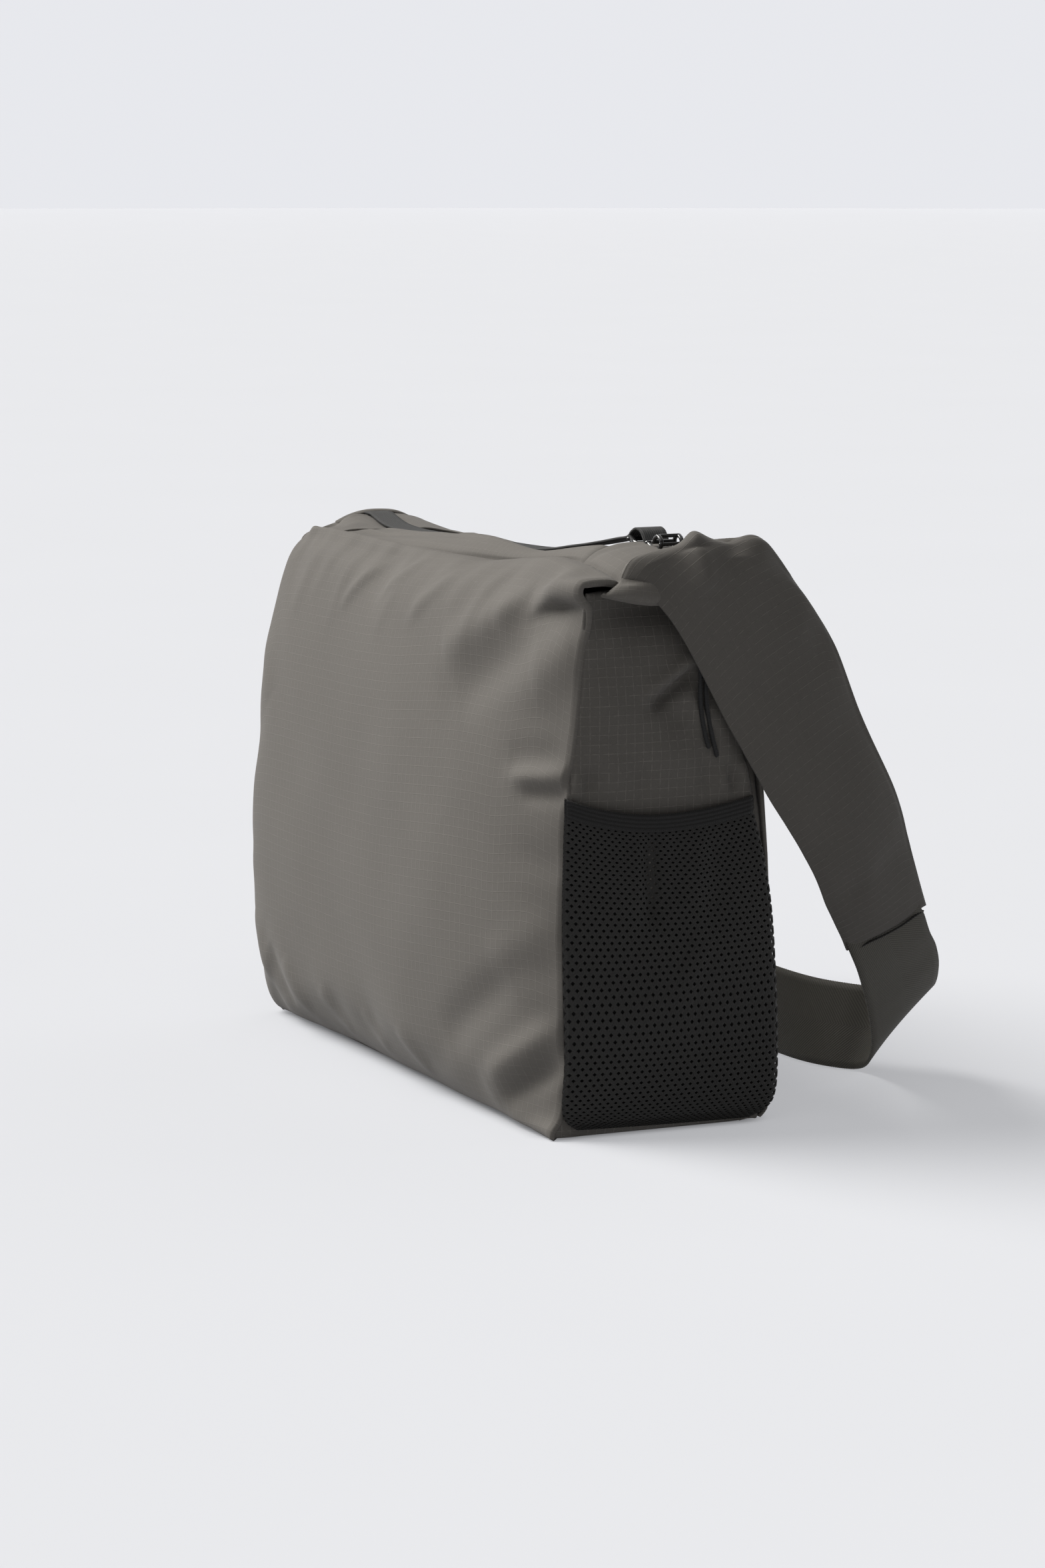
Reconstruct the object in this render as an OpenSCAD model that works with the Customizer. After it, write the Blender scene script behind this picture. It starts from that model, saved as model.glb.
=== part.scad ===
// Messenger bag of ripstop fabric: a padded box-shaped body that closes with one long zip,
// mesh side pockets, a compression strap over the mouth and a wide shoulder strap.
// X runs along the front from left to right, Y from front to back, Z up.
// The origin is the centre of the base, on the surface that the bag stands on.

/* [Body] */
// Half of the width between the two side gussets
half_w = 202; // [190:1:215]
// Height of the mouth above the base
mouth_h = 300; // [290:1:310]
// Thickness of a padded wall
wall = 5; // [4:0.5:6]
// Thickness of a gusset
gusset_t = 3.5; // [3:0.5:4]

/* [Mouth] */
// Left end of the opening
mouth_left = -150; // [-155:1:-145]
// Right end of the opening
mouth_right = 160; // [155:1:165]
// Thickness of the fabric lips
lip_t = 2.6; // [2:0.2:3]
// Place of the zip across the bag
zip_y = 10; // [8:1:12]

/* [Side pockets] */
// Height of the mesh
mesh_top = 178; // [150:1:185]
// Room inside the pocket, between the gusset and the mesh
pocket_gap = 5.6; // [5:0.2:6]
// Height of the elastic binding
binding_h = 13; // [10:1:15]

/* [Shoulder strap] */
// Thickness of the padded sleeve
pad_t = 7; // [5:0.5:7]
// Thickness of the webbing
web_t = 1.8; // [1.4:0.2:2.2]

/* [Hidden] */
$fn = 32;

taupe = [0.36, 0.34, 0.32];
taupe_dark = [0.28, 0.27, 0.25];
black = [0.08, 0.08, 0.08];
olive = [0.2, 0.19, 0.17];
foam_grey = [0.5, 0.5, 0.5];

// Outlines of the body in the YZ plane, from the base up.
front_out = [[-68, 0], [-76, 12], [-79, 60], [-78, 130], [-73, 210], [-64, 285], [-60, 304], [-54, 311], [-48, 309]];
front_in = [[-48, 297], [-52, 280], [-59, 210], [-64, 130], [-66, 60], [-66, 0]];
back_out = [[66, 0], [69, 12], [70, 100], [63, 180], [52, 250], [48, 308]];
seam_front = [[-68, 0.4], [-70, 12], [-64, 120], [-61, 190], [-57, 225], [-48, 299]];
seam_back = [[47, 299], [50, 250], [61, 180], [67, 100], [66, 12], [64, 0.4]];

side_x = half_w + 0.2;
gusset_out = side_x + gusset_t;
mesh_t = 1.6;
mesh_in = gusset_out + 0.1 + pocket_gap;
mesh_out = mesh_in + mesh_t;
lip_z = mouth_h - 3;
lip_top = lip_z + lip_t;
tape_t = 0.8;
tape_top = lip_top + tape_t;
coil_h = 1.8;
coil_gap = 0.8;
coil_w = 3.2;
tape_w = 15;
front_hinge_y = -46;
rear_hinge_y = 42;
tunnel_top = 307.4;
hood_right_top = 319;
hood_left_top = 311;
swing_y = 14;
swing_z = 290;

// ---- helpers ----

// Draws a YZ outline as a solid between two places along X.
module across(x0, x1) {
    translate([x0, 0, 0]) rotate([90, 0, 90]) linear_extrude(x1 - x0) children();
}

// Draws an XZ outline as a solid between two places along Y.
module along_y(y0, y1) {
    translate([0, y1, 0]) rotate([90, 0, 0]) linear_extrude(y1 - y0) children();
}

module block(low, high) {
    translate(low) cube(high - low);
}

module block_2d(low, high) {
    translate(low) square(high - low);
}

function reversed(list) = [for (i = [len(list) - 1 : -1 : 0]) list[i]];
function shifted(list, dy) = [for (p = list) [p[0] + dy, p[1]]];

// A point on the smooth curve through four neighbours, between the middle two.
function between(a, b, c, d, t) = 0.5 * (2 * b + (c - a) * t + (2 * a - 5 * b + 4 * c - d) * t * t
    + (3 * b - a - 3 * c + d) * t * t * t);
function pick(list, i) = list[max(0, min(len(list) - 1, i))];
// A list's curve with steps points between each two of its own.
function smooth(list, steps) = [
    for (i = [0 : len(list) - 2]) for (s = [0 : steps - 1])
        between(pick(list, i - 1), list[i], list[i + 1], pick(list, i + 2), s / steps),
    list[len(list) - 1]
];
function unit(v) = v / norm(v);
function heading(list, i) = unit(pick(list, i + 1) - pick(list, i - 1));

// Joins rings of n points each into a closed solid.
module skin(rings) {
    n = len(rings[0]);
    last = len(rings) - 1;
    sides = [for (r = [0 : last - 1]) for (k = [0 : n - 1])
        each [[r * n + k, r * n + (k + 1) % n, (r + 1) * n + k],
              [r * n + (k + 1) % n, (r + 1) * n + (k + 1) % n, (r + 1) * n + k]]];
    start = [[for (k = [n - 1 : -1 : 0]) k]];
    end = [[for (k = [0 : n - 1]) last * n + k]];
    polyhedron([for (r = rings) each r], concat(start, sides, end));
}

// A flat band between two edge curves. bevel is how far its two faces stop short of its edges.
module band(edge_a, edge_b, thick, bevel, steps) {
    a = smooth(edge_a, steps);
    b = smooth(edge_b, steps);
    mid = (a + b) / 2;
    skin([for (i = [0 : len(a) - 1])
        let (w = unit(b[i] - a[i]), n = unit(cross(heading(mid, i), w)) * thick / 2, e = w * bevel)
        bevel > 0 ? [a[i], a[i] + e + n, b[i] - e + n, b[i], b[i] - e - n, a[i] + e - n]
                  : [a[i] + n, b[i] + n, b[i] - n, a[i] - n]]);
}

// A round cord swept along its route.
module cord(route, d, steps) {
    path = smooth(route, steps);
    skin([for (i = [0 : len(path) - 1])
        let (h = heading(path, i), u = unit(cross(h, [0, 1, 0.2])), v = cross(u, h))
        [for (k = [0 : 7]) path[i] + d / 2 * (u * cos(45 * k) + v * sin(45 * k))]]);
}

// ---- body shell ----

module front_panel() {
    color(taupe) across(-half_w, half_w) polygon(concat(front_out, front_in));
}

module back_panel() {
    color(taupe) across(-half_w, half_w)
        polygon(concat(back_out, reversed(shifted(back_out, -wall))));
}

module bottom_panel() {
    color(taupe_dark) block([-half_w, -65.8, 0], [half_w, 60.8, 4]);
}

module gusset() {
    color(taupe_dark) across(side_x, gusset_out) polygon(concat(seam_front, seam_back));
}

module gusset_right() { gusset(); }
module gusset_left() { mirror([1, 0, 0]) gusset(); }

// The flat ends of the top, on both sides of the opening, with a slot for the zip.
module end_panel(x0, x1, slot0, slot1) {
    color(taupe) difference() {
        block([x0, -47.8, lip_z], [x1, 43, lip_top]);
        block([slot0, zip_y - 6.2, lip_z - 1], [slot1, zip_y + 6.2, lip_top + 1]);
    }
}

module end_panel_right() { end_panel(mouth_right + 0.5, half_w, mouth_right, half_w - 1.2); }
module end_panel_left() { end_panel(-half_w, mouth_left - 0.5, -half_w + 1.2, mouth_left); }

// The raised fabric ends of the top, with a tunnel for the zip under each.
module hood(x0, x1, top) {
    color(taupe) across(x0, x1) difference() {
        polygon([[-47.8, 300.2], [-47.8, top - 9], [-36, top - 2], [-16, top], [30, top], [43, top - 8],
            [43, 300.2]]);
        block_2d([-19, 296], [29, tunnel_top]);
    }
}

module hood_right() { hood(mouth_right + 0.5, gusset_out, hood_right_top); }
module hood_left() { hood(-gusset_out, mouth_left - 0.5, hood_left_top); }

// The slip pocket's panel behind the back, open along its top.
module rear_pocket_panel() {
    thick = 2.5;
    near = [[66.2, 0.3], [69.2, 12], [70.2, 100]];
    inner = [[76.2, 12], [77.2, 100], [75.8, 215]];
    outer = [for (p = reversed(inner)) [p[0] + thick, p[1]]];
    color(taupe) {
        across(-half_w, half_w) polygon(concat([[66.3, 0.3]], [[69.2, 12]], [inner[0]], [inner[1]], [inner[2]],
            outer, [[75, 0.3]]));
        for (side = [-1, 1]) translate([side * (half_w - 2), 0, 0])
            across(-2, 2) polygon(concat(near, [[63.2, 180], [60, 205], [75.8, 215]], [inner[1]], [inner[0]]));
    }
}

// ---- inside ----

module base_board() {
    color(black) block([-196, -61, 4.1], [196, 56, 5.7]);
}

module back_foam() {
    color(foam_grey) across(-195, 195) polygon([[60, 8], [62.6, 8], [63.6, 12], [64.6, 100], [57.8, 178],
        [48.4, 238], [45.4, 238], [54.8, 178], [61.6, 100], [60.6, 12]]);
}

module front_foam() {
    color(foam_grey) across(-195, 195) polygon([[-65.6, 12], [-65.4, 60], [-63.4, 130], [-58.6, 208],
        [-55.6, 208], [-60.4, 130], [-62.4, 60], [-62.6, 12]]);
}

module laptop_sleeve() {
    color(taupe_dark) difference() {
        across(-180, 180) polygon([[34, 6], [59.5, 6], [60.6, 100], [54, 178], [50.6, 200], [34, 200]]);
        block([-176, 37, 10], [176, 62, 201]);
    }
}

// ---- side pockets ----

pocket_front = [[-66, 8], [-62, 120], [-59.5, mesh_top]];
pocket_back = [[59, mesh_top], [64, 100], [63, 8]];

module mesh_pocket() {
    x0 = gusset_out + 0.1;
    rim = 2.4;
    color(black) difference() {
        across(x0, mesh_out) polygon(concat(pocket_front, pocket_back));
        across(x0 - 1, mesh_in) polygon(concat(shifted([[-66, 8 + rim], [-62, 120], [-59, 200]], rim),
            shifted([[57, 200], [64, 100], [63, 8 + rim]], -rim)));
    }
}

module mesh_pocket_right() { mesh_pocket(); }
module mesh_pocket_left() { mirror([1, 0, 0]) mesh_pocket(); }

module binding() {
    z0 = mesh_top + 0.1;
    color(black) difference() {
        across(gusset_out + 0.1, mesh_out + 0.4) polygon([[-59.4, z0], [-59, z0 + binding_h],
            [57.5, z0 + binding_h - 3], [58.8, z0]]);
        block([gusset_out, -56, z0 - 1], [mesh_in - 0.4, 55, z0 + binding_h + 1]);
    }
}

module binding_right() { binding(); }
module binding_left() { mirror([1, 0, 0]) binding(); }

// ---- mouth and zip ----

module lip(y0, y1) {
    color(taupe) block([mouth_left, y0, lip_z], [mouth_right, y1, lip_top]);
}

module front_lip() { lip(front_hinge_y, -2); }
module rear_lip() { lip(zip_y + 12, rear_hinge_y); }

// One tape of the zip. side is -1 in front of the zip's line and 1 behind it.
module tape(side, x0, x1) {
    near = zip_y + side * coil_gap;
    far = zip_y + side * tape_w;
    color(black) block([x0, min(near, far), lip_top], [x1, max(near, far), tape_top]);
}

module coil(side, x0, x1) {
    near = zip_y + side * coil_gap;
    far = near + side * coil_w;
    color(black) block([x0, min(near, far), tape_top], [x1, max(near, far), tape_top + coil_h]);
}

module zip_tape_front() { tape(-1, mouth_left, mouth_right); }
module zip_tape_rear() { tape(1, mouth_left, mouth_right); }
module zip_coil_front() { coil(-1, mouth_left, mouth_right); }
module zip_coil_rear() { coil(1, mouth_left, mouth_right); }

// A fixed end of the zip: both halves, joined by a stop.
module zip_end(x0, x1, stop_x) {
    for (side = [-1, 1]) {
        tape(side, x0, x1);
        coil(side, x0, x1);
    }
    color(black) block([stop_x - 0.4, zip_y - 2, lip_top], [stop_x + 0.4, zip_y + 2, tape_top + coil_h]);
}

module zip_end_right() { zip_end(mouth_right + 0.5, half_w - 1, half_w - 1.4); }
module zip_end_left() { zip_end(-half_w + 1, mouth_left - 0.5, -half_w + 1.4); }

slider_x = 193;
slider_l = 14;
slider_w = 11;
bridge_end = slider_x + 13;
bridge_z = tape_top + coil_h + 1.6;
bridge_h = 2.4;

module zip_slider() {
    half_l = slider_l / 2;
    half_s = slider_w / 2;
    plate = 1.2;
    below = lip_top - 0.4;
    above = tape_top + coil_h + 0.4;
    color(black) {
        block([slider_x - half_l, zip_y - half_s, below - plate], [slider_x + half_l, zip_y + half_s, below]);
        block([slider_x - half_l, zip_y - half_s, above], [slider_x + half_l, zip_y + half_s, above + plate]);
        block([slider_x - 3, zip_y - 0.45, below - 0.1], [slider_x + half_l, zip_y + 0.45, above + 0.1]);
        block([slider_x - 3, zip_y - 3, bridge_z - 0.1], [bridge_end, zip_y + 3, bridge_z + bridge_h]);
    }
}

cord_d = 2.6;
cord_z = bridge_z + 1.1;
cord_front_route = [[bridge_end + 0.1, 8.5, cord_z], [208.5, 8.5, 304.5], [210.8, 9, 301], [211.2, 10, 296],
    [210.4, 14, 284], [209.8, 19, 270], [209.5, 22.5, 257], [209.3, 22.5, 245], [209.2, 23.5, 232],
    [209.1, 26, 220], [209, 28, 214]];
cord_rear_route = [[bridge_end + 0.1, 11.6, cord_z], [208.5, 11.8, 304.5], [210.8, 12.5, 301], [211.2, 14, 296],
    [210.4, 18, 284], [209.8, 23, 270], [209.5, 26, 256], [209.3, 26, 244], [209.2, 27.5, 231],
    [209.1, 30.5, 218], [209, 33, 209]];

module pull_cord_front() { color(black) cord(cord_front_route, cord_d, 3); }
module pull_cord_rear() { color(black) cord(cord_rear_route, cord_d, 3); }

// ---- compression strap over the mouth ----

top_web_w = 15;
top_web_t = 1.4;
// The webbing's middle line, from its seam at the bag's left end to the ladder lock.
top_line = [[-206, -9.5, 312.4], [-184, -9.5, 312.4], [-160, -9, 312.4], [-146, -8.5, 312.2], [-126, -7, 309.6],
    [-100, -5.5, 307.9],
    [-40, -1, 307.5], [40, 5, 307.5], [90, 9, 309.5], [122, 11.5, 316], [140, 13, 320.5], [154, 13.5, 322]];

module top_webbing() {
    half = [0, top_web_w / 2, 0];
    color(black) band([for (p = top_line) p - half], [for (p = top_line) p + half], top_web_t, 0, 2);
}

module top_webbing_tab() {
    color(black) block([-gusset_out - 1.2, -17, 294], [-gusset_out - 0.1, -2, 309]);
}

lock_x = 154.2;
lock_y = 13.5;
lock_l = 18;
lock_z = 320;
lock_h = 4.4;
module ladder_lock() {
    color(black) difference() {
        block([lock_x, lock_y - 10.5, lock_z], [lock_x + lock_l, lock_y + 10.5, lock_z + lock_h]);
        for (span = [[3, 6.4], [9.4, 13.2]])
            block([lock_x + span[0], lock_y - 7.8, lock_z - 1], [lock_x + span[1], lock_y + 7.8, lock_z + 6]);
    }
}

hook_pin_x = lock_x + lock_l + 2;
hook_z = lock_z + 2.2;
anchor_bar_x = hook_pin_x + 9;
module strap_hook() {
    color(black) {
        translate([hook_pin_x, lock_y - 8, hook_z]) rotate([-90, 0, 0]) cylinder(h = 16, r = 1.5);
        block([hook_pin_x + 0.5, lock_y - 5.5, hook_z - 1], [anchor_bar_x + 3, lock_y + 5.5, hook_z + 1.1]);
        block([anchor_bar_x + 0.8, lock_y - 4.5, hook_z - 3], [anchor_bar_x + 3, lock_y + 4.5, hook_z]);
    }
}

module anchor_loop() {
    low = [anchor_bar_x - 1.8, lock_y - 9, hood_right_top + 0.1];
    color(black) difference() {
        block(low, low + [10.5, 18, 1.4]);
        block(low + [2, 3, -1], low + [7.5, 15, 3]);
    }
}

// ---- shoulder strap ----

// The sleeve's two edges, from the root at the bag's right end down to the webbing.
pad_front_edge = [[217.6, -20, 302], [217.6, 4, 274], [217.6, 32, 236], [217.6, 47, 213], [217.6, 61, 187],
    [215.6, 75, 167], [209, 91, 146], [194, 113, 114], [176, 134, 86]];
pad_rear_edge = [[217.6, 40, 333], [217.6, 80, 303], [217.6, 106, 260], [217.6, 119, 232], [217.6, 131, 206],
    [214, 142, 185], [204, 154, 164], [191, 170, 138], [176, 185, 109]];
// The webbing's two edges, from the sleeve round behind the bag to its left end.
web_lower_edge = [[175.5, 136, 84], [168, 145, 71], [155, 157, 52], [144, 166, 36], [131, 174, 19],
    [118, 178, 7], [106, 176, 1.5], [92, 166, 1.2], [70, 159, 1.2], [40, 157, 1.2], [0, 156, 1.2],
    [-60, 156, 1.2], [-110, 155, 6], [-155, 150, 30], [-190, 142, 68], [-209, 133, 100],
    [-217.6, 122.8, 127.3], [-217.6, 104.7, 157.3], [-217.6, 86.6, 187.3], [-217.6, 68.5, 217.2],
    [-217.6, 50.4, 247.2]];
web_upper_edge = [[175.5, 182, 105], [168, 190, 93], [158, 200, 82], [147, 208, 68], [132, 213, 53],
    [114, 211, 47], [97, 201, 46], [82, 186, 47], [62, 174, 48], [36, 166, 49.5], [0, 163, 50.5],
    [-60, 164, 50.5], [-116, 171, 53], [-158, 179, 70], [-191, 181, 97], [-209, 175, 128],
    [-217.6, 165.8, 153.3], [-217.6, 147.7, 183.3], [-217.6, 129.6, 213.3], [-217.6, 111.5, 243.2],
    [-217.6, 93.4, 273.2]];
// The straight end of the webbing at the left: its lean in the YZ plane and its place along X.
strap_x = -217.6;
lean = atan2(26, 43);
web_w = 50;

// Draws a shape whose own X runs across the left webbing and whose own Y runs up along it.
module on_left_webbing(centre, thick) {
    translate([strap_x - thick / 2, centre[0], centre[1]]) rotate([90, 0, 90]) rotate(lean)
        linear_extrude(thick) children();
}

module strap_root() {
    color(taupe) across(gusset_out + 0.1, gusset_out + 7.9)
        polygon([[-26, 300], [-22, 308], [4, 326], [40, 334], [56, 331], [60, 322], [47, 300], [38, 300],
            [38, 312], [2, 312], [2, 300]]);
}

module strap_pad() { color(taupe) band(pad_front_edge, pad_rear_edge, pad_t, 4, 4); }
module strap_webbing() { color(olive) band(web_lower_edge, web_upper_edge, web_t, 0, 3); }

module strap_tab() {
    color(taupe) {
        across(strap_x - 2, strap_x + 2)
            polygon([[1, 290], [4, 297], [16, 299], [34, 298], [60, 292], [87.4, 282.8], [44.7, 257], [8, 280]]);
        across(strap_x, -gusset_out - 0.2) translate([swing_y, swing_z]) circle(8);
    }
}

ring_centre = [69, 265];
module strap_ring() {
    color(black) on_left_webbing(ring_centre, 3.4) difference() {
        square([58, 11], center = true);
        square([web_w + 1.4, 3.8], center = true);
    }
}

glide_centre = [99, 215.3];
module tri_glide() {
    opening = [web_w + 1.6, 40];
    color(black) difference() {
        on_left_webbing(glide_centre, 6.4) square([59, 24], center = true);
        on_left_webbing(glide_centre, web_t + 1) square(opening, center = true);
        on_left_webbing(glide_centre, 20) for (y = [-5, 5]) translate([0, y]) square([web_w, 4], center = true);
    }
}

front_panel();
back_panel();
bottom_panel();
gusset_right();
gusset_left();
end_panel_right();
end_panel_left();
hood_right();
hood_left();
rear_pocket_panel();
base_board();
back_foam();
front_foam();
laptop_sleeve();
mesh_pocket_right();
mesh_pocket_left();
binding_right();
binding_left();
front_lip();
rear_lip();
zip_tape_front();
zip_tape_rear();
zip_coil_front();
zip_coil_rear();
zip_end_right();
zip_end_left();
zip_slider();
pull_cord_front();
pull_cord_rear();
top_webbing();
top_webbing_tab();
ladder_lock();
strap_hook();
anchor_loop();
strap_root();
strap_pad();
strap_webbing();
strap_tab();
strap_ring();
tri_glide();
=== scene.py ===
"""Looks of the messenger bag: sewn ripstop panels, mesh pockets, webbing, buckles and zip.

They go around the CAD frame, in its own axes: X along the front, Y from front to back, Z up.
Tables and the strokes of folds are in mm; other lengths are in metres.
"""

import math

import bpy
import numpy as np
from mathutils import Matrix, Vector


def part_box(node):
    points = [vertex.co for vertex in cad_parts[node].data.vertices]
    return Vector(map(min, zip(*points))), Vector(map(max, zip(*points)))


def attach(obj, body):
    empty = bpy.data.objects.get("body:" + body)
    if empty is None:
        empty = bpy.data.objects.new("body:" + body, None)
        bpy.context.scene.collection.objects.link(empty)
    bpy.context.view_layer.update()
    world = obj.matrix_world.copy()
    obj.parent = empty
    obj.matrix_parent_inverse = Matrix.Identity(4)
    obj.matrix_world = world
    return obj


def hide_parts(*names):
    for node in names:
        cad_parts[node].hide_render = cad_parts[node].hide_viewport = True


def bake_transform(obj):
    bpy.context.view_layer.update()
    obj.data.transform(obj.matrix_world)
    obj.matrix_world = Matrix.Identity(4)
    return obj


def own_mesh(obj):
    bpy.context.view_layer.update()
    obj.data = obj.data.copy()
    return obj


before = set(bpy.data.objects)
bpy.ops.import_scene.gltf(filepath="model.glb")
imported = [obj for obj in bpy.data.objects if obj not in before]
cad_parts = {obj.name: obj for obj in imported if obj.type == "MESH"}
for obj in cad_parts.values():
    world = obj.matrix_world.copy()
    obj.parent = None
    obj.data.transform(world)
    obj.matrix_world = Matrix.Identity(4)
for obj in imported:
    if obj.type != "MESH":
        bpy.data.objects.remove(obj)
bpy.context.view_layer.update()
MM = 0.001
SEAM_TUCK = 0.9 * MM  # how far cloth is drawn in along a sewn edge
SEAM_REACH = 3.2 * MM

# ---------------------------------------------------------------- curves and grids


def mm(points):
    return np.array(points, float) * MM


def smoothstep(t):
    """0 up to t = 0 and 1 from t = 1, with a soft start and end."""
    t = np.clip(t, 0, 1)
    return t * t * (3 - 2 * t)


def spread(n, ends):
    """n values from -1 to 1 that crowd towards the ends, more so for a higher share."""
    lin = np.linspace(-1, 1, n)
    return (1 - ends) * lin + ends * np.sin(lin * math.pi / 2)


def relax(rows):
    """Draws each inner row towards the two beside it, in place."""
    rows[1:-1] = 0.25 * rows[:-2] + 0.5 * rows[1:-1] + 0.25 * rows[2:]


def between(low, high, n):
    """A grid of n rows from one line to the other."""
    t = np.linspace(0, 1, n)[:, None, None]
    return low[None] * (1 - t) + high[None] * t


def curve(points, n):
    """n points along the smooth curve through the given ones, evenly spaced by their order."""
    p = np.asarray(points, float)
    t = np.linspace(0, len(p) - 1, n)
    i = np.clip(t.astype(int), 0, len(p) - 2)
    f = (t - i)[:, None]
    a, b = p[np.clip(i - 1, 0, None)], p[i]
    c, d = p[i + 1], p[np.clip(i + 2, None, len(p) - 1)]
    return 0.5 * (2 * b + (c - a) * f + (2 * a - 5 * b + 4 * c - d) * f**2 + (3 * b - a - 3 * c + d) * f**3)


def even(points, n):
    """n points along the smooth curve through the given ones, evenly spaced by length."""
    p = curve(points, 12 * len(points))
    s = np.concatenate([[0], np.cumsum(np.linalg.norm(np.diff(p, axis=0), axis=1))])
    at = np.linspace(0, s[-1], n)
    return np.stack([np.interp(at, s, p[:, k]) for k in range(p.shape[1])], axis=1)


def refine(grid, k):
    """The grid with k smooth steps between each two of its points, both ways."""
    for _ in range(2):
        n, m, c = grid.shape
        grid = curve(grid.reshape(n, m * c), (n - 1) * k + 1).reshape(-1, m, c)
        grid = grid.transpose(1, 0, 2)
    return grid


def loft(rows, n_across, n_along):
    """A grid through rows of control points: [across, along]."""
    rows = np.asarray(rows, float)
    m, n, c = rows.shape
    a = curve(rows.reshape(m, n * c), n_along).reshape(n_along, n, c)
    b = curve(a.transpose(1, 0, 2).reshape(n, n_along * c), n_across)
    return b.reshape(n_across, n_along, c)


def normals(grid):
    """The grid's unit normal at each point."""
    n = np.cross(np.gradient(grid, axis=0), np.gradient(grid, axis=1))
    return n / np.maximum(np.linalg.norm(n, axis=2, keepdims=True), 1e-12)


def flat(grid):
    """Each grid point's place on the cloth when laid flat."""
    du = np.linalg.norm(np.diff(grid, axis=0), axis=2).mean(1)
    dv = np.linalg.norm(np.diff(grid, axis=1), axis=2).mean(0)
    u = np.concatenate([[0], np.cumsum(du)])
    v = np.concatenate([[0], np.cumsum(dv)])
    return np.stack(np.meshgrid(u, v, indexing="ij"), axis=2)


def extent(uv):
    """The flat cloth's width and height in mm."""
    return uv[-1, 0, 0] / MM, uv[0, -1, 1] / MM


def crease(grid, place, strokes, fade=3 * MM):
    """Pushes folds into a grid along its normals. A stroke is (u0, v0, u1, v1, half width, height) in mm."""
    n = normals(grid)
    lift = np.zeros(grid.shape[:2])
    for u0, v0, u1, v1, width, height in mm(strokes):
        a, d = np.array([u0, v0]), np.array([u1 - u0, v1 - v0])
        t = ((place - a) @ d) / max(d @ d, 1e-12)
        near = a + np.clip(t, 0, 1)[..., None] * d
        dist = np.linalg.norm(place - near, axis=2)
        taper = 1 - 0.75 * np.clip(np.abs(t - 0.5) * 2, 0, 1) ** 3
        lift += height * taper * np.exp(-((dist / width) ** 2))
    return grid + n * (lift * seam_fade(grid, fade))[..., None]


def seam_fade(grid, reach):
    """0 at the grid's edges and 1 a little way in, so folds die out at the seams."""
    uv = flat(grid)
    w, h = uv[-1, 0, 0], uv[0, -1, 1]
    d = np.minimum(np.minimum(uv[..., 0], w - uv[..., 0]), np.minimum(uv[..., 1], h - uv[..., 1]))
    return smoothstep(d / reach)


def ripple(grid, uv, size, height, seed):
    """Low soft unevenness of cloth, from a few fixed waves."""
    r = np.random.default_rng(seed)
    lift = np.zeros(grid.shape[:2])
    for _ in range(14):
        k = r.normal(size=2) / size
        lift += np.sin(uv @ k * 2 * math.pi * 0.5 + r.uniform(0, 6.28)) * r.uniform(0.4, 1)
    return grid + normals(grid) * (lift * height / 3.5)[..., None]


# ---------------------------------------------------------------- meshes


def mesh_object(name, verts, faces, material, weave=None, smooth=True):
    """A mesh in the scene. weave holds each point's place on the flat cloth, for its material."""
    data = bpy.data.meshes.new(name)
    data.from_pydata([tuple(v) for v in verts], [], [tuple(f) for f in faces])
    data.polygons.foreach_set("use_smooth", [smooth] * len(data.polygons))
    if weave is not None:
        layer = data.attributes.new("weave", "FLOAT_VECTOR", "POINT")
        flat_places = np.zeros((len(verts), 3), np.float32)
        flat_places[:, :2] = np.asarray(weave, np.float32).reshape(-1, 2)
        layer.data.foreach_set("vector", flat_places.ravel())
    obj = bpy.data.objects.new(name, data)
    bpy.context.scene.collection.objects.link(obj)
    data.materials.append(material)
    data.update()
    return obj


def grid_faces(idx):
    """Faces between neighbouring points of a grid of indices."""
    a, b, c, d = idx[:-1, :-1], idx[1:, :-1], idx[1:, 1:], idx[:-1, 1:]
    return np.stack([a, b, c, d], axis=2).reshape(-1, 4)


def border(idx):
    """The grid's outer points, once round."""
    return np.concatenate([idx[:, 0], idx[-1, 1:], idx[-2::-1, -1], idx[0, -2:0:-1]])


def ring_faces(a, b):
    """Faces between rows of closed rings."""
    return np.stack([a, np.roll(a, -1, 1), np.roll(b, -1, 1), b], axis=2).reshape(-1, 4)


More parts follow.
